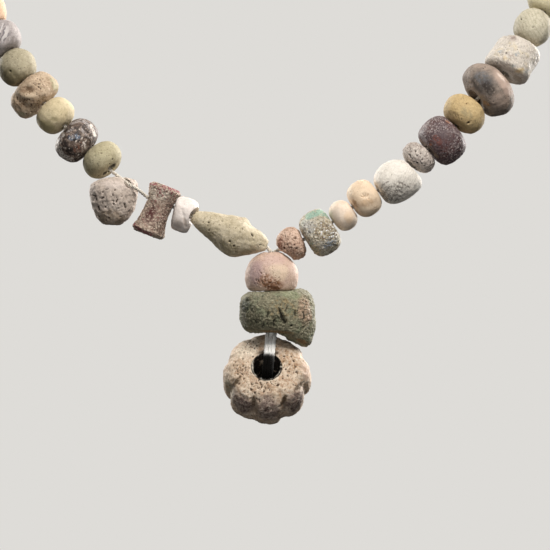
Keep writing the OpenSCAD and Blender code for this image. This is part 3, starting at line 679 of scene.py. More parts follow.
def left_1_spindle():
    """Beige clay, fired hard and rubbed smooth: a fine tooth, some sharp pits and a rubbed fold."""
    bead = Surface("left_1_spindle", 0.175)
    bead.roughen((3.6, 0.16, 20), (1.0, 0.05, 21), (0.4, 0.03, 22))
    bead.mound(-4.6, 6.4, 1.2, 0.3)
    bead.carve([(-5.0, 1.5), (-4.3, 1.2), (-3.4, 1.1)], 0.6, 0.1, 0.3)
    bead.mound(-4.0, 0.7, 0.7, 0.08, 1.6, -15)
    bead.pits([
        (-3.74, 2.5, 0.34, 0.45, 1.5, -60), (-8.5, 1.1, 0.26, 0.5), (-7.6, 0.13, 0.28, 0.5),
        (-10.1, 5.4, 0.2, 0.22), (-12.8, 5.0, 0.24, 0.3, 1.5, 0), (-13.9, 5.0, 0.24, 0.25),
        (-5.8, 3.7, 0.22, 0.25), (-10.5, 0.55, 0.24, 0.3), (-12.75, 3.4, 0.22, 0.25),
        (-12.9, 2.85, 0.2, 0.2), (-10.6, 2.4, 0.2, 0.16), (-2.2, 0.4, 0.2, 0.25),
        (-1.5, 0.2, 0.18, 0.2), (-7.3, -1.0, 0.22, 0.22), (-3.6, 1.4, 0.3, 0.12),
        (-8.0, 0.6, 0.16, 0.2), (-9.0, 0.3, 0.16, 0.18), (-9.7, 1.6, 0.15, 0.14),
        (-6.6, 0.0, 0.16, 0.16), (-2.6, -0.3, 0.16, 0.18),
    ])
    bead.pores(110, (0.11, 0.2), 0.13, 23)
    clay = worn(bead, "hard_beige_clay", "#B9AC91 #CDC1A9 #95886E #3A3120 #EBE3C9", 11, 0.55)
    clay.stain("#877A5B", 0.6, (-8.4, -0.2, 3.6, 1.3, -35), (0.8, 0.36, 0.58, 9))
    clay.stain("#7A6E50", 0.5, (-4.5, -0.8, 2.4, 0.7, 12))
    clay.stain("#8D8062", 0.5, (-12.6, 2.7, 1.5, 0.7, -30))
    clay.stain("#C2A78F", 0.5, (-6.3, 5.8, 0.8, 0.4))
    bead.close(clay)


def right_1_porous():
    """Reddish-brown clay full of burnt-out holes."""
    bead = Surface("right_1_porous", 0.155)
    bead.roughen((2.0, 0.08, 23), (0.45, 0.14, 24))
    bead.pits([
        (3.8, 2.7, 0.2, 0.3), (2.9, 2.2, 0.18, 0.3), (5.05, 1.85, 0.3, 0.45), (3.3, 0.5, 0.2, 0.3),
        (4.8, 0.4, 0.18, 0.3), (4.1, -0.1, 0.26, 0.3), (3.3, -0.8, 0.18, 0.3),
        (4.2, -1.5, 0.18, 0.3), (5.4, -1.4, 0.2, 0.3), (1.75, -0.3, 0.4, 0.5, 1.6, 50),
        (2.2, 1.4, 0.18, 0.25), (5.9, 0.8, 0.18, 0.25), (4.3, 1.5, 0.18, 0.25),
        (3.0, 1.3, 0.16, 0.2), (4.6, -0.9, 0.18, 0.3), (5.3, -0.4, 0.18, 0.3),
        (2.6, -0.3, 0.3, 0.35, 1.6, 60), (4.9, 2.6, 0.16, 0.2), (2.4, 2.3, 0.16, 0.2),
        (3.5, 3.3, 0.14, 0.2),
    ])
    bead.pores(170, (0.12, 0.2), 0.2, 25)
    clay = worn(
        bead, "burnt_brown_clay", "#B99B87 #D9BEAB #87664F #5C3F2E #ECD6C5", 12, 0.6, 1.2, 1.4,
    )
    clay.stain("#8C5642", 0.6, (1.9, 0.6, 0.9, 2.0), (0.6, 0.3, 0.5, 4))
    clay.stain("#6B4A36", 0.6, (4.4, -0.8, 1.6, 1.8), (0.4, 0.42, 0.56, 5))
    bead.close(clay)


def right_2_crusted():
    """Glass rotted to a crust: a turquoise edge, and silvery flakes in a brown net."""
    bead = Surface("right_2_crusted", 0.155)
    bead.roughen((3.0, 0.1, 26), (0.5, 0.14, 27))
    bead.carve([(7.6, 3.1), (8.0, 2.8), (8.5, 2.9)], 0.3, 0.22, 0.5)
    bead.carve([(8.3, 2.6), (8.6, 2.0)], 0.26, 0.14, 0.4)
    bead.trace(
        "turquoise_edge", 1.1, [(7.6, 6.2), (8.8, 6.8), (10.0, 7.1), (11.4, 6.9), (12.7, 6.0)],
    )
    bead.trace("pale_edge", 0.7, [(6.0, 3.9), (6.7, 5.2), (8.0, 6.2), (9.2, 6.6)])
    bead.pores(120, (0.12, 0.22), 0.18, 28)
    crust = worn(
        bead, "rotted_glass_crust", "#C6BCA8 #E9E2D2 #857860 #3A3023 #FBF7EE", 13, 0.6, 1.2, 1.4,
    )
    crust.stain("#B8B6B2", 0.7, (7.6, 4.0, 2.0, 1.8), (0.6, 0.3, 0.5, 14))
    crust.stain("#A69F72", 0.7, (8.6, -0.4, 2.0, 1.0, -20), (0.5, 0.46, 0.58, 3))
    flaky = crust.patch(11.4, 3.4, 3.4, 3.0, 20, 0.4)
    crust.lay("#7A6548", crust.cloud(0.5, 0.46, 0.56, 5), flaky, share=0.85)
    crust.lay("#C9B184", crust.cloud(0.5, 0.54, 0.62, 15), share=0.5)
    crust.lay("#F2F0F0", crust.flecks(0.5, 0.6, 0.46, 6), flaky, share=0.95)
    crust.lay("#8A6A58", crust.flecks(0.55, 0.25, 0.3, 16), flaky, share=0.7)
    crust.stain("#A2AAB4", 0.85, (12.0, 0.6, 2.0, 1.0, 25), (0.5, 0.42, 0.56, 8))
    crust.lay(
        "#DDE2E8", crust.flecks(0.4, 0.5, 0.42, 9), crust.patch(12.0, 0.8, 2.4, 1.3, 25),
        share=0.85,
    )
    crust.lay("#4F4632", crust.flecks(0.55, 0.35, 0.3, 7), share=0.8)
    crust.stain("#7FA694", 0.6, (8.3, 0.6, 0.6, 1.0, -20), (0.4, 0.44, 0.56, 10))
    crust.lay(
        "#D8DCD4", crust.marked("pale_edge", 0.25, 0.75), crust.cloud(0.5, 0.36, 0.52, 12),
        share=0.7,
    )
    crust.lay(
        "#86B29E", crust.marked("turquoise_edge", 0.15, 0.6), crust.cloud(0.5, 0.34, 0.48, 4),
        share=0.75,
    )
    crust.gloss(flaky, -0.35)
    crust.raised(crust.cloud(0.4, 0.4, 0.6, 11), 0.12)
    bead.close(crust)


def right_3_bicone():
    """Peach glaze over fine paste, worn dull; one side was ground to a facet."""
    bead = Surface("right_3_bicone", 0.165)
    bead.roughen((2.6, 0.06, 29))
    bead.mound(15.9, 4.7, 1.5, -0.2, 1.3, -35)
    glaze = worn(bead, "worn_peach_glaze", "#DFCBB6 #EDDDCB #C8B19B #8A6847 #F7EADA", 14, 0.4, 0.6)
    glaze.stain("#C8BAAC", 0.6, (13.2, 6.4, 1.3, 2.2))
    glaze.stain("#E3C39D", 0.5, (16.0, 6.0, 1.3, 1.9))
    glaze.polish(0.12)
    bead.close(glaze)


def right_4_peach():
    """Warm cream glaze, worn dull, with a star of small chips and a brown stain at its mouth."""
    bead = Surface("right_4_peach", 0.155)
    bead.roughen((2.8, 0.07, 31), (0.6, 0.02, 30))
    bead.mound(19.4, 10.5, 0.7, -0.12, 1.3, -20)
    for line in (
        [(18.7, 10.9), (19.1, 10.4)], [(19.3, 11.0), (19.25, 10.4)], [(19.9, 10.8), (19.6, 10.3)],
        [(18.4, 10.4), (19.0, 10.2)],
    ):
        bead.carve(line, 0.24, 0.2, 0.6)
    bead.pits([
        (18.85, 10.7, 0.2, 0.2), (19.8, 10.4, 0.22, 0.2), (20.0, 9.9, 0.18, 0.18),
        (19.35, 10.2, 0.2, 0.18), (16.3, 11.2, 0.18, 0.12), (21.4, 10.6, 0.16, 0.12),
    ])
    bead.mound(20.4, 8.6, 1.4, -0.12, 2.0, 15)
    glaze = worn(bead, "worn_warm_glaze", "#DCC4A8 #EBD8BE #C5A786 #8A6038 #F7EAD6", 15, 0.4, 0.6)
    glaze.stain("#AF8358", 0.7, (17.3, 8.9, 1.5, 0.6, -50), (0.5, 0.34, 0.54, 4))
    glaze.stain("#A5622F", 0.7, (16.9, 8.4, 0.6, 0.4))
    glaze.stain("#CBA57C", 0.45, (19.6, 9.0, 2.4, 1.0, 10), (0.9, 0.34, 0.56, 6))
    glaze.polish(0.12)
    bead.close(glaze)


def right_5_barrel():
    """Veined white limestone, smooth: grey swirls on its lower half and fine lines above."""
    bead = Surface("right_5_barrel", 0.165)
    bead.roughen((3.6, 0.12, 33), (0.7, 0.03, 34))
    bead.trace(
        "grey_curl", 0.3, [(23.0, 10.4), (23.4, 11.5), (24.3, 12.3), (25.5, 12.5), (26.9, 12.1)],
        [(23.7, 9.7), (24.0, 10.6), (24.8, 11.4), (26.0, 11.6), (27.2, 11.0), (28.0, 10.9)],
        [(24.5, 9.4), (24.9, 10.3), (25.8, 10.7), (26.6, 10.4), (27.0, 9.9)], [
            (25.4, 9.3), (25.8, 9.9), (26.2, 9.6),
        ],
        [(22.6, 12.0), (23.2, 12.9), (24.2, 13.5)], [(26.2, 13.3), (27.4, 12.8), (28.4, 12.2)],
    )
    bead.pores(60, (0.11, 0.18), 0.1, 35)
    stone = worn(
        bead, "veined_white_limestone", "#DDD6CB #EFEAE1 #BFB7AC #5C5448 #FFFCF6", 16, 0.6, 0.7,
    )
    veined = stone.patch(25.0, 11.0, 4.6, 2.8, 28, 0.6)
    stone.lay("#8F877E", stone.cloud(0.45, 0.46, 0.58, 12), veined, share=0.7)
    stone.lay("#68615A", stone.cloud(0.4, 0.53, 0.62, 13), veined, share=0.7)
    stone.lay(
        "#5F5851", stone.marked("grey_curl", 0.1, 0.8), stone.cloud(0.45, 0.42, 0.54, 9), share=0.7,
    )
    stone.lay(
        "#6A645C", stone.streaks(0.55, 48, 0.55, 0.75, 9.0, 6), veined,
        stone.cloud(0.7, 0.4, 0.56, 8), share=0.6,
    )
    stone.stain("#77726B", 0.5, (23.3, 11.4, 1.0, 2.0, 20), (0.5, 0.38, 0.56, 4))
    stone.lay(
        "#A8A096", stone.streaks(0.5, -25, 0.62, 0.82, 5.0, 3),
        stone.patch(28.2, 14.2, 2.4, 3.0, -30), share=0.25,
    )
    stone.stain("#9B8468", 0.6, (21.6, 12.4, 0.6, 1.6, 35))
    bead.close(stone)


def right_6_grey():
    """Grey clay, coarse and open: the grit has dropped out of its skin."""
    bead = Surface("right_6_grey", 0.155)
    bead.roughen((2.2, 0.1, 36), (0.5, 0.12, 37))
    bead.pits([
        (29.6, 19.7, 0.24, 0.4), (29.9, 18.7, 0.22, 0.35), (28.4, 18.8, 0.22, 0.35),
        (27.6, 18.6, 0.2, 0.3), (27.9, 18.0, 0.18, 0.3), (31.0, 17.9, 0.22, 0.3),
        (30.9, 17.1, 0.22, 0.35), (31.4, 16.6, 0.2, 0.3), (29.3, 17.5, 0.22, 0.35),
        (28.6, 20.2, 0.18, 0.25), (30.6, 19.2, 0.18, 0.3), (28.9, 18.2, 0.18, 0.3),
        (29.9, 17.2, 0.26, 0.3, 1.6, -50), (30.3, 16.4, 0.2, 0.25),
    ])
    bead.pores(200, (0.12, 0.22), 0.22, 38)
    clay = worn(bead, "gritty_grey_clay", "#ADA198 #CFC6BC #7D7167 #2E2723 #E4DCD2", 17, 0.6)
    bead.close(clay)


def right_7_purple():
    """Speckled purple-brown stone, ground but not polished, with a chipped pale rim."""
    bead = Surface("right_7_purple", 0.165)
    bead.roughen((3.4, 0.12, 39), (0.5, 0.07, 40))
    bead.mound(33.9, 18.7, 0.6, 0.25)
    bead.trace("pale_rim", 0.55, [(29.9, 22.4), (31.2, 21.2), (32.8, 19.9), (34.2, 18.4)])
    bead.pores(90, (0.12, 0.22), 0.12, 41)
    stone = worn(
        bead, "speckled_purple_stone", "#544446 #6C5D5A #382C2C #1C1514 #A39794", 18, 0.5, 0.8,
    )
    stone.lay(
        "#4D2722", stone.cloud(2.2, 0.42, 0.58, 4), stone.cloud(0.6, 0.36, 0.58, 9), share=0.7,
    )
    stone.stain("#6E3A2C", 0.7, (34.0, 21.9, 1.7, 1.0, -40), (0.5, 0.42, 0.58, 7))
    stone.lay("#8C8082", stone.flecks(0.5, 0.4, 0.3, 3), share=0.6)
    edge = stone.patch(35.0, 21.9, 4.2, 3.6, 40, 0.7)
    bare = stone.add("Math", {"operation": "SUBTRACT", 0: 1.0}, {1: edge})
    stone.lay("#BDB3AE", stone.flecks(0.45, 0.6, 0.4, 5), bare, share=0.75)
    stone.lay("#9A8C88", stone.cloud(0.4, 0.5, 0.6, 8), bare, share=0.6)
    stone.stain("#B98462", 0.6, (36.2, 25.7, 0.8, 0.2, -35))
    stone.stain("#A5683E", 0.5, (32.7, 21.0, 0.6, 0.35))
    stone.lay(
        "#8A7461", stone.marked("pale_rim", 0.2, 0.8), stone.cloud(0.4, 0.36, 0.52, 6), share=0.8,
    )
    stone.stain("#A8957F", 0.8, (33.8, 18.8, 0.7, 0.5, -45), (0.4, 0.3, 0.5, 10))
    bead.close(stone, base=0.6)


def right_8_ochre():
    """Ochre clay, smooth and close, with small chips and a greenish-brown shade below."""
    bead = Surface("right_8_ochre", 0.165)
    bead.roughen((3.2, 0.1, 42), (0.7, 0.03, 43))
    bead.pits([(40.1, 29.5, 0.2, 0.25), (40.5, 25.5, 0.34, 0.4), (41.6, 28.0, 0.14, 0.12)])
    bead.mound(40.9, 25.8, 0.4, -0.14)
    for line in (
        [(37.6, 27.4), (37.95, 26.5)], [(38.2, 27.1), (38.5, 26.2)], [(38.8, 26.9), (39.05, 26.1)],
    ):
        bead.carve(line, 0.28, 0.12, 0.4)
    bead.pores(50, (0.11, 0.18), 0.1, 44)
    clay = worn(bead, "close_ochre_clay", "#B9A074 #CDB78B #96815A #43361E #F0DDB0", 19, 0.5, 0.8)
    clay.stain("#8C8163", 0.6, (40.2, 27.6, 2.0, 1.4, -40), (0.7, 0.36, 0.58, 5))
    clay.stain("#84744A", 0.5, (38.6, 25.0, 3.0, 1.3, -20), (1.0, 0.24, 0.52, 6))
    bead.close(clay)


def right_9_pebble():
    """A drilled pebble, tumbled smooth: a blue-grey hollow face, a crest with a painted highlight,
    a pinkish side.
    """
    bead = Surface("right_9_pebble", 0.185)
    bead.roughen((4.5, 0.12, 45), (0.6, 0.05, 46))
    bead.mound(43.2, 33.2, 2.2, -0.45, 1.3, -50)
    bead.carve([(46.1, 36.2), (47.4, 34.9), (48.6, 33.0)], 1.6, -0.16)
    bead.mound(42.3, 30.4, 0.7, -0.45, 1.6, -45)
    bead.mound(44.4, 29.3, 0.5, 0.2, 1.6, 30)
    bead.pits([(41.1, 33.6, 0.2, 0.2), (41.0, 32.8, 0.18, 0.2), (48.7, 29.6, 0.2, 0.15)])
    bead.pores(90, (0.12, 0.22), 0.1, 47)
    stone = worn(bead, "tumbled_grey_pebble", "#84776C #998B7F #62574F #26201C #BBAA9C", 20, 0.4)
    stone.stain("#BBA394", 0.75, (47.8, 34.0, 2.2, 4.4, 30), (1.6, 0.16, 0.42, 3))
    # Painted highlight along the crest
    stone.stain("#E2D2C6", 0.8, (47.2, 34.9, 0.45, 1.5, 42), (0.6, 0.3, 0.5, 10))
    stone.stain("#A59385", 0.6, (43.6, 37.2, 3.4, 1.0, -8), (1.0, 0.2, 0.5, 13))
    stone.stain("#524D4A", 0.85, (43.4, 33.6, 3.4, 2.8, -30), (0.8, 0.26, 0.5, 4))
    stone.stain("#666B71", 0.5, (43.4, 34.8, 2.6, 1.6, -25), (0.6, 0.36, 0.58, 8))
    # Painted shade in the middle of the dished face, which faces down and to the left
    stone.stain("#2F2721", 0.8, (44.8, 32.4, 2.6, 1.6, -50), (0.6, 0.3, 0.5, 6))
    stone.stain("#A28E80", 0.65, (47.4, 30.0, 2.6, 2.4), (0.8, 0.3, 0.55, 9))
    # Painted shade in the hollow where the string goes in
    stone.stain("#33271F", 0.8, (42.3, 30.2, 1.2, 0.7, -45))
    stone.stain("#9A7047", 0.7, (44.3, 29.4, 1.1, 0.5, -30), (0.5, 0.38, 0.52, 7))
    bead.close(stone)


def right_10_mottled():
    """Glaze gone in patches: cream, straw and grey-blue over a pale body; the cream at the lower
    end is painted light.
    """
    bead = Surface("right_10_mottled", 0.185)
    bead.roughen((3.2, 0.16, 48), (0.7, 0.06, 49))
    bead.mound(49.4, 42.8, 0.8, -0.3, 1.6, -20)
    bead.carve([(48.6, 42.2), (49.1, 41.6)], 0.3, 0.2, 0.5)
    bead.pits([
        (48.3, 39.9, 0.26, 0.25), (47.0, 38.0, 0.2, 0.2), (49.6, 39.4, 0.16, 0.15),
        (52.4, 38.6, 0.2, 0.15), (46.2, 39.4, 0.18, 0.15), (50.3, 37.4, 0.16, 0.14),
        (53.6, 39.3, 0.16, 0.14),
    ])
    bead.pores(50, (0.12, 0.22), 0.12, 50)
    glaze = worn(bead, "patchy_pale_glaze", "#C8BFB3 #DCD4CA #A0958A #3F352A #F0EBE2", 21, 0.5)
    glaze.lay("#CDBD99", glaze.cloud(1.3, 0.54, 0.64, 4), share=0.4)
    glaze.stain("#8F7F74", 0.6, (48.0, 38.4, 3.6, 2.2, 30), (0.6, 0.5, 0.6, 14))
    glaze.stain("#8A7068", 0.7, (49.6, 42.9, 1.8, 0.9, -20, 0.9, 0.8), (0.5, 0.34, 0.54, 16))
    # Painted light: a pale patch that lightens the shaded lower-left end
    glaze.stain("#F6F0E6", 0.85, (48.2, 35.6, 3.4, 2.6, -35), (0.8, 0.3, 0.5, 15))
    glaze.stain("#D2BB8B", 0.5, (48.3, 38.7, 1.1, 0.7, -35), (0.5, 0.4, 0.56, 7))
    glaze.stain("#CBB07C", 0.7, (51.2, 36.2, 1.3, 0.9), (0.6, 0.3, 0.5, 8))
    for across, up in ((47.0, 40.1), (49.7, 37.2), (52.5, 36.1), (50.6, 39.6)):
        glaze.stain("#8496A0", 0.5, (across, up, 0.8, 0.5, 30), (0.35, 0.44, 0.56, 5))
    glaze.lay("#6E5A44", glaze.flecks(0.62, 0.2, 0.24, 6), share=0.7)
    # Painted shade along the lower edge
    glaze.stain("#8B7860", 0.5, (50.6, 34.6, 2.0, 0.8, -50))
    glaze.raised(glaze.cloud(0.6, 0.45, 0.6, 11), 0.05)
    bead.close(glaze, base=0.6)


def right_11_pale():
    """Pale marl clay, smooth, with two pits and faint scratches."""
    bead = Surface("right_11_pale", 0.185)
    bead.roughen((3.0, 0.1, 51), (0.7, 0.03, 52))
    bead.pits([
        (51.4, 46.9, 0.26, 0.35), (51.7, 45.4, 0.16, 0.15), (53.9, 45.2, 0.28, 0.2),
        (51.4, 43.9, 0.2, 0.12), (50.9, 42.6, 0.4, 0.2),
    ])
    bead.pores(24, (0.11, 0.18), 0.1, 53)
    clay = worn(
        bead, "scratched_marl_clay", "#BBB39D #CDC6B2 #968F7B #3C3729 #DFD9C8", 22, 0.5, 0.8,
    )
    clay.lay("#8F8872", clay.streaks(0.7, 30, 0.74, 0.84, 6.0, 3), share=0.3)
    clay.stain("#7F7660", 0.5, (52.0, 42.3, 3.0, 1.2, -15))
    bead.close(clay)


def right_12_yellow():
    """Yellow-green marl clay, smooth and dull."""
    bead = Surface("right_12_yellow", 0.2)
    bead.roughen((3.0, 0.1, 54), (0.8, 0.04, 55))
    bead.pores(30, (0.13, 0.24), 0.1, 56)
    clay = worn(bead, "yellow_marl_clay", "#CDC3A2 #DED5B8 #AAA07E #5A5034 #F0E9CF", 23, 0.5, 0.8)
    bead.close(clay)


def pendant_1_pink():
    """Peach faience with a lilac bloom, stained brown and pitted where soil lay on its foot."""
    bead = Surface("pendant_1_pink", 0.175)
    bead.roughen((4.0, 0.12, 57), (0.6, 0.04, 58))
    bead.pits([
        (-2.4, -4.9, 0.16, 0.2), (-2.0, -5.4, 0.2, 0.25), (-1.5, -5.2, 0.16, 0.2),
        (-1.1, -5.6, 0.2, 0.25), (-1.3, -6.2, 0.2, 0.25), (-1.2, -6.9, 0.2, 0.25),
        (-0.2, -7.4, 0.2, 0.25), (-0.6, -8.2, 0.22, 0.25), (0.7, -8.4, 0.2, 0.2),
        (1.6, -7.0, 0.16, 0.16), (-1.9, -7.0, 0.16, 0.2), (0.2, -6.4, 0.16, 0.18),
    ])
    bead.pores(90, (0.11, 0.18), 0.18, 59, (-0.6, -6.8, 2.8))
    bead.pores(70, (0.11, 0.17), 0.1, 60)
    glaze = worn(bead, "peach_faience", "#C6AA98 #DAC3B2 #A98D7E #55321E #F3E6DA", 24, 0.6, 0.8)
    glaze.stain("#AC9292", 0.7, (-3.3, -5.2, 2.2, 3.4), (1.0, 0.2, 0.5, 8))
    glaze.stain("#BD9F98", 0.4, (0.6, -2.8, 3.6, 1.6), (1.0, 0.2, 0.5, 9))
    glaze.stain("#D8C3A6", 0.5, (1.8, -5.0, 2.6, 2.4), (1.0, 0.2, 0.5, 10))
    glaze.stain("#A3AA94", 0.1, (1.0, -5.4, 1.6, 1.2))
    glaze.lay("#8A6350", glaze.flecks(0.5, 0.3, 0.26, 11), share=0.6)
    glaze.stain("#8E6547", 0.8, (-0.2, -7.3, 3.6, 2.0, -18), (0.6, 0.36, 0.56, 4))
    glaze.stain("#6A4529", 0.9, (0.3, -7.8, 2.8, 1.4, -18), (0.4, 0.42, 0.56, 5))
    glaze.stain("#5A341C", 0.75, (0.8, -8.3, 1.4, 0.6, -20))
    glaze.polish(0.1)
    bead.close(glaze, "pendant")


def pendant_2_green():
    """Green faience with its glaze eaten into crevices, down to a brownish-pink body at one end."""
    bead = Surface("pendant_2_green", 0.185)
    bead.roughen((4.0, 0.22, 61), (1.0, 0.1, 62), (0.5, 0.14, 63))
    bead.mound(5.5, -9.2, 1.4, 0.3)
    bead.mound(-3.5, -9.5, 1.6, 0.2)
    for line, reach, depth in (
        ([(1.7, -12.9), (2.1, -13.7), (2.3, -14.6), (2.8, -15.4)], 0.5, 0.5),
        ([(6.7, -13.3), (6.9, -14.0), (6.8, -14.7)], 0.4, 0.3),
        ([(-0.7, -13.4), (-0.8, -14.3)], 0.36, 0.35),
        ([(0.6, -15.0), (0.4, -15.7), (0.6, -16.2)], 0.3, 0.3),
        ([(-1.5, -15.6), (-1.8, -16.5)], 0.3, 0.25),
        ([(4.9, -13.2), (5.1, -14.1)], 0.34, 0.35),
        ([(3.3, -12.2), (3.0, -13.0)], 0.3, 0.2),
        ([(-3.4, -14.9), (-3.0, -15.6)], 0.3, 0.2),
    ):
        bead.carve(line, reach, depth, 0.8)
    bead.pits([
        (2.86, -15.5, 0.42, 0.6), (4.2, -16.1, 0.3, 0.45), (-4.55, -16.65, 0.24, 0.25),
        (-4.85, -10.9, 0.28, 0.3), (-4.85, -12.9, 0.26, 0.3), (-4.25, -12.9, 0.22, 0.25),
        (2.0, -11.8, 0.26, 0.3), (-5.6, -12.2, 0.24, 0.25), (-4.3, -12.0, 0.22, 0.25),
        (0.9, -12.6, 0.2, 0.2), (1.9, -12.9, 0.22, 0.25), (6.2, -16.6, 0.24, 0.25),
        (5.3, -16.9, 0.2, 0.2), (-3.2, -14.4, 0.22, 0.2), (-2.4, -12.0, 0.2, 0.15),
        (4.6, -17.3, 0.2, 0.2),
    ])
    bead.pores(70, (0.12, 0.24), 0.16, 64, (1.6, -14.6, 3.6))
    bead.pores(220, (0.12, 0.24), 0.18, 65)
    glaze = worn(bead, "green_faience", "#817C66 #A09A80 #58543F #211E13 #C4BE9F", 25, 0.5)
    glaze.lay("#81866B", glaze.cloud(1.9, 0.5, 0.64, 4), share=0.6)
    glaze.stain("#8F9474", 0.6, (4.6, -9.9, 3.4, 1.1, -15), (0.8, 0.2, 0.5, 13))
    glaze.stain("#94825F", 0.75, (2.6, -12.6, 4.6, 3.4), (0.7, 0.48, 0.6, 5))
    glaze.stain("#AC917A", 0.85, (7.0, -13.0, 2.2, 3.8, 6), (0.7, 0.3, 0.52, 6))
    glaze.stain("#5B625C", 0.7, (-5.2, -11.8, 1.2, 1.8), (0.6, 0.3, 0.54, 14))
    glaze.stain("#3F402E", 0.8, (-1.0, -15.0, 5.6, 2.2), (0.5, 0.44, 0.58, 7))
    glaze.stain("#3B3A26", 0.7, (-5.1, -12.4, 1.3, 3.2), (0.45, 0.46, 0.58, 8))
    glaze.stain("#2B2718", 0.85, (2.4, -14.6, 0.9, 1.9, 25), (0.4, 0.42, 0.54, 15))
    glaze.stain("#8A6A46", 0.8, (6.4, -19.4, 2.2, 0.6, -28), (0.6, 0.24, 0.5, 16))
    glaze.stain("#85683F", 0.7, (1.4, -17.4, 4.6, 0.4, -4), (0.6, 0.24, 0.5, 17))
    glaze.raised(glaze.cloud(0.5, 0.4, 0.6, 11), 0.12)
    bead.close(glaze, "pendant")


def pendant_3_melon_ring():
    """Bare faience paste: a sandy body full of pores, with a purple-grey bloom on its low lobes."""
    bead = Surface("pendant_3_melon_ring", 0.19)
    bead.roughen((3.2, 0.22, 64), (0.9, 0.08, 65), (0.45, 0.08, 66))
    bead.carve(
        [(-6.6, -28.9), (-4.0, -29.8), (-0.8, -30.0), (2.4, -29.4), (4.6, -28.2)], 1.3, -0.12,
    )
    bead.carve([(-3.8, -29.9), (-3.6, -31.4), (-3.5, -33.6)], 1.0, 0.35, 0.2)
    bead.carve([(2.0, -29.7), (2.5, -31.2), (3.0, -32.8)], 1.0, 0.35, 0.2)
    rim = [math.radians(turn) for turn in range(195, 345, 10)]
    lip = [(-0.75 + 2.85 * math.cos(turn), -24.35 + 2.75 * math.sin(turn)) for turn in rim]
    # The hole's lower lip, traced for a painted highlight
    bead.trace("hole_lip_highlight", 0.7, lip)
    bead.pits([
        (-5.3, -20.4, 0.24, 0.3), (-4.3, -20.4, 0.2, 0.25), (-3.6, -19.3, 0.24, 0.3),
        (-4.8, -21.6, 0.2, 0.25), (-3.1, -19.7, 0.2, 0.25), (-4.0, -19.0, 0.18, 0.2),
        (-5.9, -21.2, 0.18, 0.2), (-2.8, -20.7, 0.18, 0.2), (-7.3, -23.6, 0.26, 0.35),
        (-7.0, -24.4, 0.26, 0.4, 1.5, 60), (-5.7, -24.4, 0.28, 0.4, 1.4, 60),
        (-6.8, -26.0, 0.24, 0.35), (-6.4, -26.6, 0.24, 0.4), (-5.6, -26.9, 0.24, 0.4),
        (-3.9, -28.1, 0.26, 0.45), (-3.1, -27.8, 0.24, 0.35), (-2.0, -28.0, 0.26, 0.4),
        (-2.0, -28.7, 0.22, 0.3), (-4.2, -29.0, 0.26, 0.4), (-1.1, -28.7, 0.22, 0.35, 2.0, 85),
        (1.4, -28.2, 0.28, 0.45, 1.5, 80), (0.9, -29.4, 0.24, 0.35), (3.5, -26.4, 0.22, 0.3),
        (3.0, -25.0, 0.26, 0.35), (3.7, -25.0, 0.2, 0.25), (4.6, -23.3, 0.36, 0.6),
        (2.5, -22.3, 0.2, 0.25), (2.6, -22.9, 0.2, 0.25), (3.8, -24.1, 0.24, 0.3),
        (2.3, -19.9, 0.2, 0.2), (-4.2, -32.6, 0.26, 0.3), (-2.4, -31.7, 0.24, 0.25),
        (5.5, -31.0, 0.24, 0.3), (0.1, -29.5, 0.26, 0.35), (-6.7, -23.0, 0.2, 0.25),
        (-6.1, -25.3, 0.2, 0.25), (-5.0, -27.6, 0.2, 0.3), (4.9, -24.4, 0.22, 0.3),
        (3.3, -24.6, 0.2, 0.25), (5.0, -25.6, 0.2, 0.25), (3.0, -21.2, 0.2, 0.2),
        (4.3, -27.0, 0.2, 0.25),
    ])
    bead.pores(45, (0.12, 0.22), 0.18, 67, (-6.1, -25.0, 2.0))
    bead.pores(45, (0.12, 0.22), 0.18, 68, (-4.4, -20.4, 1.8))
    bead.pores(50, (0.12, 0.22), 0.18, 69, (3.8, -24.0, 2.2))
    bead.pores(60, (0.12, 0.22), 0.18, 70, (-1.0, -28.6, 3.4))
    bead.pores(420, (0.13, 0.24), 0.16, 71)
    bead.pores(60, (0.2, 0.34), 0.24, 72, (-1.0, -26.0, 6.5))
    bead.pores(150, (0.14, 0.26), 0.2, 73, (-0.8, -32.6, 6.0))
    paste = worn(bead, "bare_faience_cream", "#C4AF98 #E3D4C0 #967B62 #3D2A17 #F4EAD8", 26, 0.6)
    paste.stain("#9F9A80", 0.5, (-8.4, -29.2, 1.8, 3.2))
    paste.lay("#A27E60", paste.cloud(0.8, 0.5, 0.62, 21), share=0.6)
    paste.stain("#A4805C", 0.7, (4.0, -23.0, 2.6, 4.0, 20), (0.8, 0.46, 0.6, 4))
    paste.stain("#8A6A48", 0.6, (-6.2, -25.0, 1.4, 3.4, 8), (0.6, 0.44, 0.6, 12))
    paste.stain("#8A6A48", 0.6, (-4.2, -20.3, 2.4, 1.0, 40), (0.6, 0.44, 0.6, 13))
    paste.stain("#7A6248", 0.55, (-1.0, -28.6, 4.4, 0.9, 2), (0.6, 0.42, 0.6, 14))
    for across, up, wide, high in (
        (-6.0, -32.4, 3.2, 3.8), (-0.6, -33.8, 3.2, 4.6), (5.3, -32.0, 3.2, 4.0),
    ):
        lobe = paste.patch(across, up, wide, high, 0, 0.6)
        paste.lay("#83716A", lobe, paste.cloud(1.0, 0.26, 0.48, 5), share=0.85)
        paste.lay("#BAAA9B", lobe, paste.cloud(0.7, 0.5, 0.6, 19), share=0.85)
        paste.lay("#523F37", lobe, paste.cloud(0.65, 0.5, 0.6, 15), share=0.8)
    paste.stain("#B79A88", 0.5, (7.2, -25.6, 1.4, 2.8, 12))
    paste.lay(
        "#7E5C3E", paste.flecks(0.45, 0.4, 0.3, 20), paste.patch(-1.0, -25.0, 8.0, 7.0), share=0.7,
    )
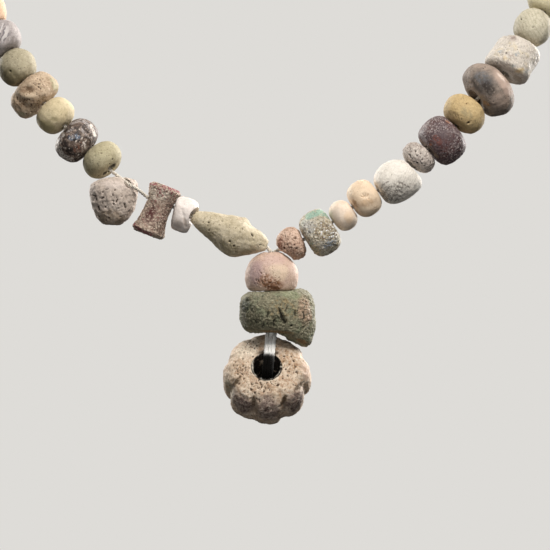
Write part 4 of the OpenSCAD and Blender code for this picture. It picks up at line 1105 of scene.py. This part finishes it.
    # Painted shade in the grooves between the lobes
    for across, up, turn in (
        (-3.6, -31.8, 88), (2.6, -31.4, 66), (-7.2, -27.8, 55), (5.8, -28.4, 40),
    ):
        paste.stain("#4A3A24", 0.85, (across, up, 2.0, 0.6, turn), (0.5, 0.28, 0.46, 6))
    paste.stain("#E6DCC9", 0.5, (-4.6, -20.6, 4.0, 2.6, 40), (0.9, 0.3, 0.54, 18))
    # Painted highlight on the hole's lower lip, which faces the light
    paste.lay(
        "#EFE3CF", paste.marked("hole_lip_highlight", 0.2, 0.9), paste.cloud(0.6, 0.34, 0.56, 16), share=0.65,
    )
    # Painted shade: a dark band at the top of the hole, under the strands
    paste.stain("#2A1D12", 0.92, (-0.6, -21.7, 2.7, 1.0, 0, 0.5, 0.2))
    # Painted shade: the bore's inside is laid near black, as no light reaches it
    paste.lay("#120C07", painted_bore_shade(paste, 3.3, 6.3, 0.05), share=0.98)
    bead.close(paste, "pendant")


def cotton(name, colour, slot, soiled=1.0):
    """Soft twisted cotton: matt, a little soiled, with fine fibres along its plies."""
    yarn = Finish(name, colour, slot=slot)
    yarn.lay("#B9AF9F", yarn.cloud(3.0, 0.5, 0.7, 1), share=0.35 * soiled)
    yarn.lay("#9E9382", yarn.cloud(0.3, 0.5, 0.7, 2, 2), share=0.3 * soiled)
    yarn.raised(yarn.cloud(0.14, 0.3, 0.7, 2, 2, 3.0, 60), 0.04)
    return yarn


# The string's stops, as the solids have them: [across, up, forward] in mm from the hanging point
STOPS = [
    [-57.6, 51.7, 0], [-56.4, 46.1, 0], [-53.7, 40, 0], [-50.6, 33.8, 0], [-46.3, 29.3, 0],
    [-42.2, 24.6, 0], [-36.7, 20.1, -0.6], [-32.6, 15.4, 0.4], [-31.7, 14.8, -1], [-29, 12.8, 4],
    [-27.3, 11.8, 3.6], [-25.4, 10.2, 0.8], [-20.1, 8.2, 0], [-16.2, 6.3, 0], [-0.7, -0.1, 0],
    [0.1, -1.4, 0], [2, -0.4, 0], [6.8, 1.5, 0], [12.6, 5.1, 0], [16.7, 8.1, 0], [21.8, 11.5, 0],
    [28.9, 16.4, 0], [32, 19.9, 0], [37.7, 24.7, 0], [41.8, 29.9, 0], [47.8, 34.9, 0],
    [51.7, 42.4, 0], [55.8, 48.2, 0], [58.4, 54.7, 0],
]
CHEST_SLOPE = 0.0065
NAPE = np.array([0.0, 135.0, 100.0])
NAPE_LEAD = (42.0, 3.0)
BACK_LEAD = 45.0
BACK_STEPS = 160
ACROSS = np.array([1.0, 0.0, 0.0])


def string_route():
    """The closed line of the string: along the front's stops, and by two curves round the neck."""
    front = [np.array([x, CHEST_SLOPE * up**2 - forward, up]) for x, up, forward in STOPS]

    def back(end, before, side):
        lead = end + BACK_LEAD * (end - before) / np.linalg.norm(end - before)
        nape_lead = NAPE + np.array([side * NAPE_LEAD[0], 0, NAPE_LEAD[1]])
        steps = np.linspace(0, 1, BACK_STEPS)[1:, None]
        return (
            (1 - steps) ** 3 * end + 3 * steps * (1 - steps) ** 2 * lead
            + 3 * steps**2 * (1 - steps) * nape_lead + steps**3 * NAPE
        )

    right = back(front[-1], front[-2], 1)
    left = back(front[0], front[1], -1)
    return np.array([*front, *right[:-1], *left[::-1]])


def even(route, step, soften):
    """Points at an even step along a closed line, with its corners softened."""
    closed = np.vstack([route, route[:1]])
    run = np.concatenate([[0], np.cumsum(np.linalg.norm(np.diff(closed, axis=0), axis=1))])
    count = int(run[-1] / step)
    at = np.arange(count) * run[-1] / count
    points = np.stack([np.interp(at, run, closed[:, axis]) for axis in range(3)], 1)
    for _ in range(soften):
        points = 0.5 * points + 0.25 * (np.roll(points, 1, 0) + np.roll(points, -1, 0))
    return points, run[-1]


def plied(name, route, side, d, pitch, seed, plies=3, step=0.32, soften=4, sides=6):
    """A closed cord of twisted plies along a line, in mm from the hanging point."""
    points, length = even(route, step, soften)
    count = len(points)
    ahead = np.roll(points, -1, 0) - np.roll(points, 1, 0)
    ahead /= np.linalg.norm(ahead, axis=1)[:, None]
    side = np.broadcast_to(side, points.shape) if np.ndim(side) == 1 else side(points)
    u = side - (side * ahead).sum(1)[:, None] * ahead
    u /= np.linalg.norm(u, axis=1)[:, None]
    v = np.cross(ahead, u)
    turns = round(length / pitch)
    ply_r = d / 4
    uneven, run = 0.08, 9  # how much the twist's tightness varies, and over how many points
    random = np.random.default_rng(seed)
    vertices, faces = [], []
    for ply in range(plies):
        angle = 2 * math.pi * (turns * np.arange(count) / count + ply / plies)
        knots = np.arange(0, count, run)
        slack = 1 + uneven * np.interp(np.arange(count), knots, random.normal(size=len(knots)))
        off = (d / 2 - ply_r) * slack
        middle = points + off[:, None] * (np.cos(angle)[:, None] * u + np.sin(angle)[:, None] * v)
        base = len(vertices) * sides
        for i in range(count):
            turn = angle[i] + 2 * math.pi * np.arange(sides) / sides
            r = ply_r * slack[i]
            ring = middle[i] + r * (np.cos(turn)[:, None] * u[i] + np.sin(turn)[:, None] * v[i])
            vertices.append(ring)
            here, after = base + i * sides, base + (i + 1) % count * sides
            shift = (turns * sides) % sides if i == count - 1 else 0
            for k in range(sides):
                m = (k + 1) % sides
                faces.append((
                    here + k, here + m, after + (m + shift) % sides, after + (k + shift) % sides,
                ))
    mesh = bpy.data.meshes.new(name)
    place = (np.vstack(vertices) + np.array(HANGING_POINT)) * MM
    mesh.from_pydata(place.tolist(), [], faces)
    mesh.polygons.foreach_set("use_smooth", [True] * len(mesh.polygons))
    return new_object(name, mesh)


def main_string():
    def outwards(points):
        return (points + np.array(HANGING_POINT)) * [1, 1, 0]

    cord = plied("main_string", string_route(), outwards, d=0.8, pitch=2.4, seed=1)
    yarn = cotton("cotton_string", "#DAD2C5", "string")
    cord.data.materials.append(yarn.close(0.9, specular=0.15))
    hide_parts("main_thread")
    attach(cord, "string")


def off_ring(out, up_face):
    """A point beside the ring, [forward, up], from its place out of the face and up the face."""
    c, s = math.cos(RING_TILT), math.sin(RING_TILT)
    return [out * c - up_face * s, RING_UP + out * s + up_face * c]


def round_ring(turn, back=False):
    """A point on the way over the ring's rounded outer edge, at a turn in degrees from its face."""
    reach, turn = RING_EDGE + STRAND_OFF, math.radians(turn)
    out = RING_T / 2 - RING_EDGE + reach * math.cos(turn)
    up_face = RING_R - RING_EDGE + reach * math.sin(turn)
    return off_ring(-out if back else out, up_face)


def strand_routes():
    """The hanger's line, up through the two upper beads, and a wrap's round the ring alone.

    Both have the places of the solids' own lines, as [forward, up] in mm from the hanging point.
    """
    face = RING_T / 2 + STRAND_OFF
    front = [(face + 0.05, 3.9), (face, 2.75), (face - 0.9, HOLE_TOP), (2, HOLE_TOP)]
    hole = [off_ring(*place) for place in front]
    hole += [off_ring(-out, up_face) for out, up_face in reversed(front)]
    up_back = [round_ring(turn, True) for turn in range(-5, 76, 20)]
    hanger = [
        [-0.6, GREEN_FOOT + 3], [-0.6, HANG_UP - 1.6], [-0.4, HANG_UP - 1], [0.4, HANG_UP - 1],
        [0.6, HANG_UP - 1.6], [0.6, GREEN_FOOT + 3], [0.9, GREEN_FOOT],
        round_ring(35), round_ring(15), round_ring(-5), *hole, *up_back,
        round_ring(88), [-1.9, GREEN_FOOT - 0.05], [-0.8, GREEN_FOOT + 1],
    ]
    down_front = [round_ring(turn) for turn in range(75, -6, -20)]
    return hanger, [*down_front, *hole, *up_back, round_ring(95)]


def pendant_strands():
    """Three closed strands: one up through the pendant's beads, and a wrap on either side."""
    hanger, wrap = strand_routes()
    pieces = []
    for name, place, route in (
        ("hanger", 0, hanger), ("wrap_left", -1, wrap), ("wrap_right", 1, wrap),
    ):
        x = PENDANT_X + place * STRAND_SPACING
        line = np.array([
            [x + STRAND_DRIFT * min(0, up - GREEN_FOOT), -forward, up] for forward, up in route
        ])
        strand = plied(
            "strand_" + name, line, ACROSS, d=0.84, pitch=4.4, seed=2 + len(pieces),
            plies=4, step=0.25, soften=3, sides=8,
        )
        yarn = cotton("cotton_" + name, "#FBF9F5", "pendant_strands", 0.2)
        # Painted shade: the strands turn near black where they run inside the ring's bore
        yarn.lay("#17110B", painted_bore_shade(yarn, 3.2, 8.0, 0.3), share=0.97)
        strand.data.materials.append(yarn.close(0.9, specular=0.15))
        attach(strand, "pendant")
        pieces.append(strand)
    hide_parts("pendant_thread")


def nape_knot():
    """The tie, a plain bound knot."""
    knot = Surface("nape_knot", 0.15)
    knot.roughen((0.8, 0.12, 70))
    knot.close(cotton("cotton_tie", "#CFC6B6", "string"))


def back_string(side, seed):
    """The plain beads past the photo's edge, in four worn clay tones."""
    beads = Surface(side + "_back_string", 0.5)
    beads.roughen((3.0, 0.22, seed), (0.9, 0.06, seed + 1))
    beads.pores(500, (0.3, 0.5), 0.2, seed + 2)
    clay = Finish(side + "_plain_clay", "#B8AC90", beads, "plain_beads")
    # Clouds so wide and sharp-edged that a bead seldom has two tones
    tones = (("#C9B08F", 0.5, 3), ("#A39A86", 0.53, 9), ("#C8BE9B", 0.56, 14), ("#8F7F6B", 0.6, 20))
    for colour, low, tone in tones:
        clay.lay(colour, clay.cloud(11.0, low, low + 0.02, seed + tone, 0), share=0.9)
    clay.lay("#D8CDB4", clay.cloud(2.8, 0.42, 0.68, seed), share=0.4)
    clay.lay("#857861", clay.cloud(1.4, 0.5, 0.72, seed + 1), share=0.4)
    clay.grain(0.32, 0.05, seed)
    clay.soil = ("#4C412F", "#E3DAC4", 0.5)
    beads.close(clay)


def stage():
    """A plain pale floor under the necklace, and a pale, even surround."""
    floor_mesh = bpy.data.meshes.new("floor")
    half, low = 2.5, -0.9  # metres
    corners = [(-half, -half, low), (half, -half, low), (half, half, low), (-half, half, low)]
    floor_mesh.from_pydata(corners, [], [(0, 1, 2, 3)])
    floor = new_object("floor", floor_mesh)
    paint = bpy.data.materials.new("pale_paint")
    paint.use_nodes = True
    shader = paint.node_tree.nodes["Principled BSDF"]
    shader.inputs["Base Color"].default_value = linear("#D9D7D3")
    shader.inputs["Roughness"].default_value = 0.9
    # The floor lies far below the lights, so it glows a little to look as pale as the surround
    shader.inputs["Emission Color"].default_value = linear(SURROUND)
    shader.inputs["Emission Strength"].default_value = 0.9
    floor_mesh.materials.append(paint)
    floor.visible_diffuse = False
    floor.visible_glossy = False
    world = bpy.data.worlds.new("studio")
    bpy.context.scene.world = world
    world.use_nodes = True
    tree = world.node_tree
    tree.nodes.clear()
    seen = add(tree, "LightPath")
    shown = add(tree, "Background", {"Color": linear(SURROUND), "Strength": 1.0})
    fill = add(tree, "Background", {"Color": linear("#E8E6E3"), "Strength": 0.04})
    mixed = add(tree, "MixShader", None, {0: seen, 1: fill, 2: shown})
    add(tree, "OutputWorld", None, {0: mixed})


def softbox(name, place, aim, size, watts, colour):
    """One area light, its place and aim in mm from the hanging point."""
    light = bpy.data.lights.new(name, "AREA")
    light.shape = "RECTANGLE"
    light.size, light.size_y = (side * MM for side in size)
    light.energy = watts
    light.color = linear(colour)[:3]
    lamp = new_object(name, light)
    lamp.location = (Vector(place) + HANGING_POINT) * MM
    lamp.rotation_euler = (Vector(aim) - Vector(place)).to_track_quat("-Z", "Y").to_euler()


def lights():
    softbox("key", (120, -300, 380), (0, 0, -10), (260, 240), 3.4, "#FFFCF8")
    softbox("front", (-40, -560, -90), (0, 0, -10), (240, 240), 0.75, "#FFFFFF")
    softbox("left_rim", (-300, 330, 160), (0, 0, 0), (120, 300), 3.0, "#FFFDFA")
    softbox("right_rim", (300, 330, 160), (0, 0, 0), (120, 360), 5.0, "#FFFDFA")


def camera():
    """A long lens, level, framed as the photo is."""
    lens, distance, past_floor = 1000.0, 3.14, 20
    data = bpy.data.cameras.new("camera")
    data.lens = lens
    data.sensor_width = PHOTO * PIXEL * MM / distance * lens
    middle = [(PHOTO / 2 - HANGING_PIXEL[0]) * PIXEL, 0, (HANGING_PIXEL[1] - PHOTO / 2) * PIXEL]
    cam = new_object("camera", data)
    cam.location = (Vector(middle) + HANGING_POINT) * MM - Vector((0, distance, 0))
    cam.rotation_euler = (math.radians(90), 0, 0)
    data.clip_end = past_floor
    bpy.context.scene.camera = cam
    bpy.context.scene.view_settings.view_transform = "Standard"


camera()
lights()
stage()
for make in (
    left_11_peach, left_10_striated, left_9_olive, left_8_melon, left_7_cream, left_6_mosaic,
    left_5_round, left_4_pierced_lump, left_3_spool, left_2_collar, left_1_spindle, right_1_porous,
    right_2_crusted, right_3_bicone, right_4_peach, right_5_barrel, right_6_grey, right_7_purple,
    right_8_ochre, right_9_pebble, right_10_mottled, right_11_pale, right_12_yellow, pendant_1_pink,
    pendant_2_green, pendant_3_melon_ring, main_string, pendant_strands, nape_knot,
):
    make()
for side, seed in (("left", 80), ("right", 90)):
    back_string(side, seed)
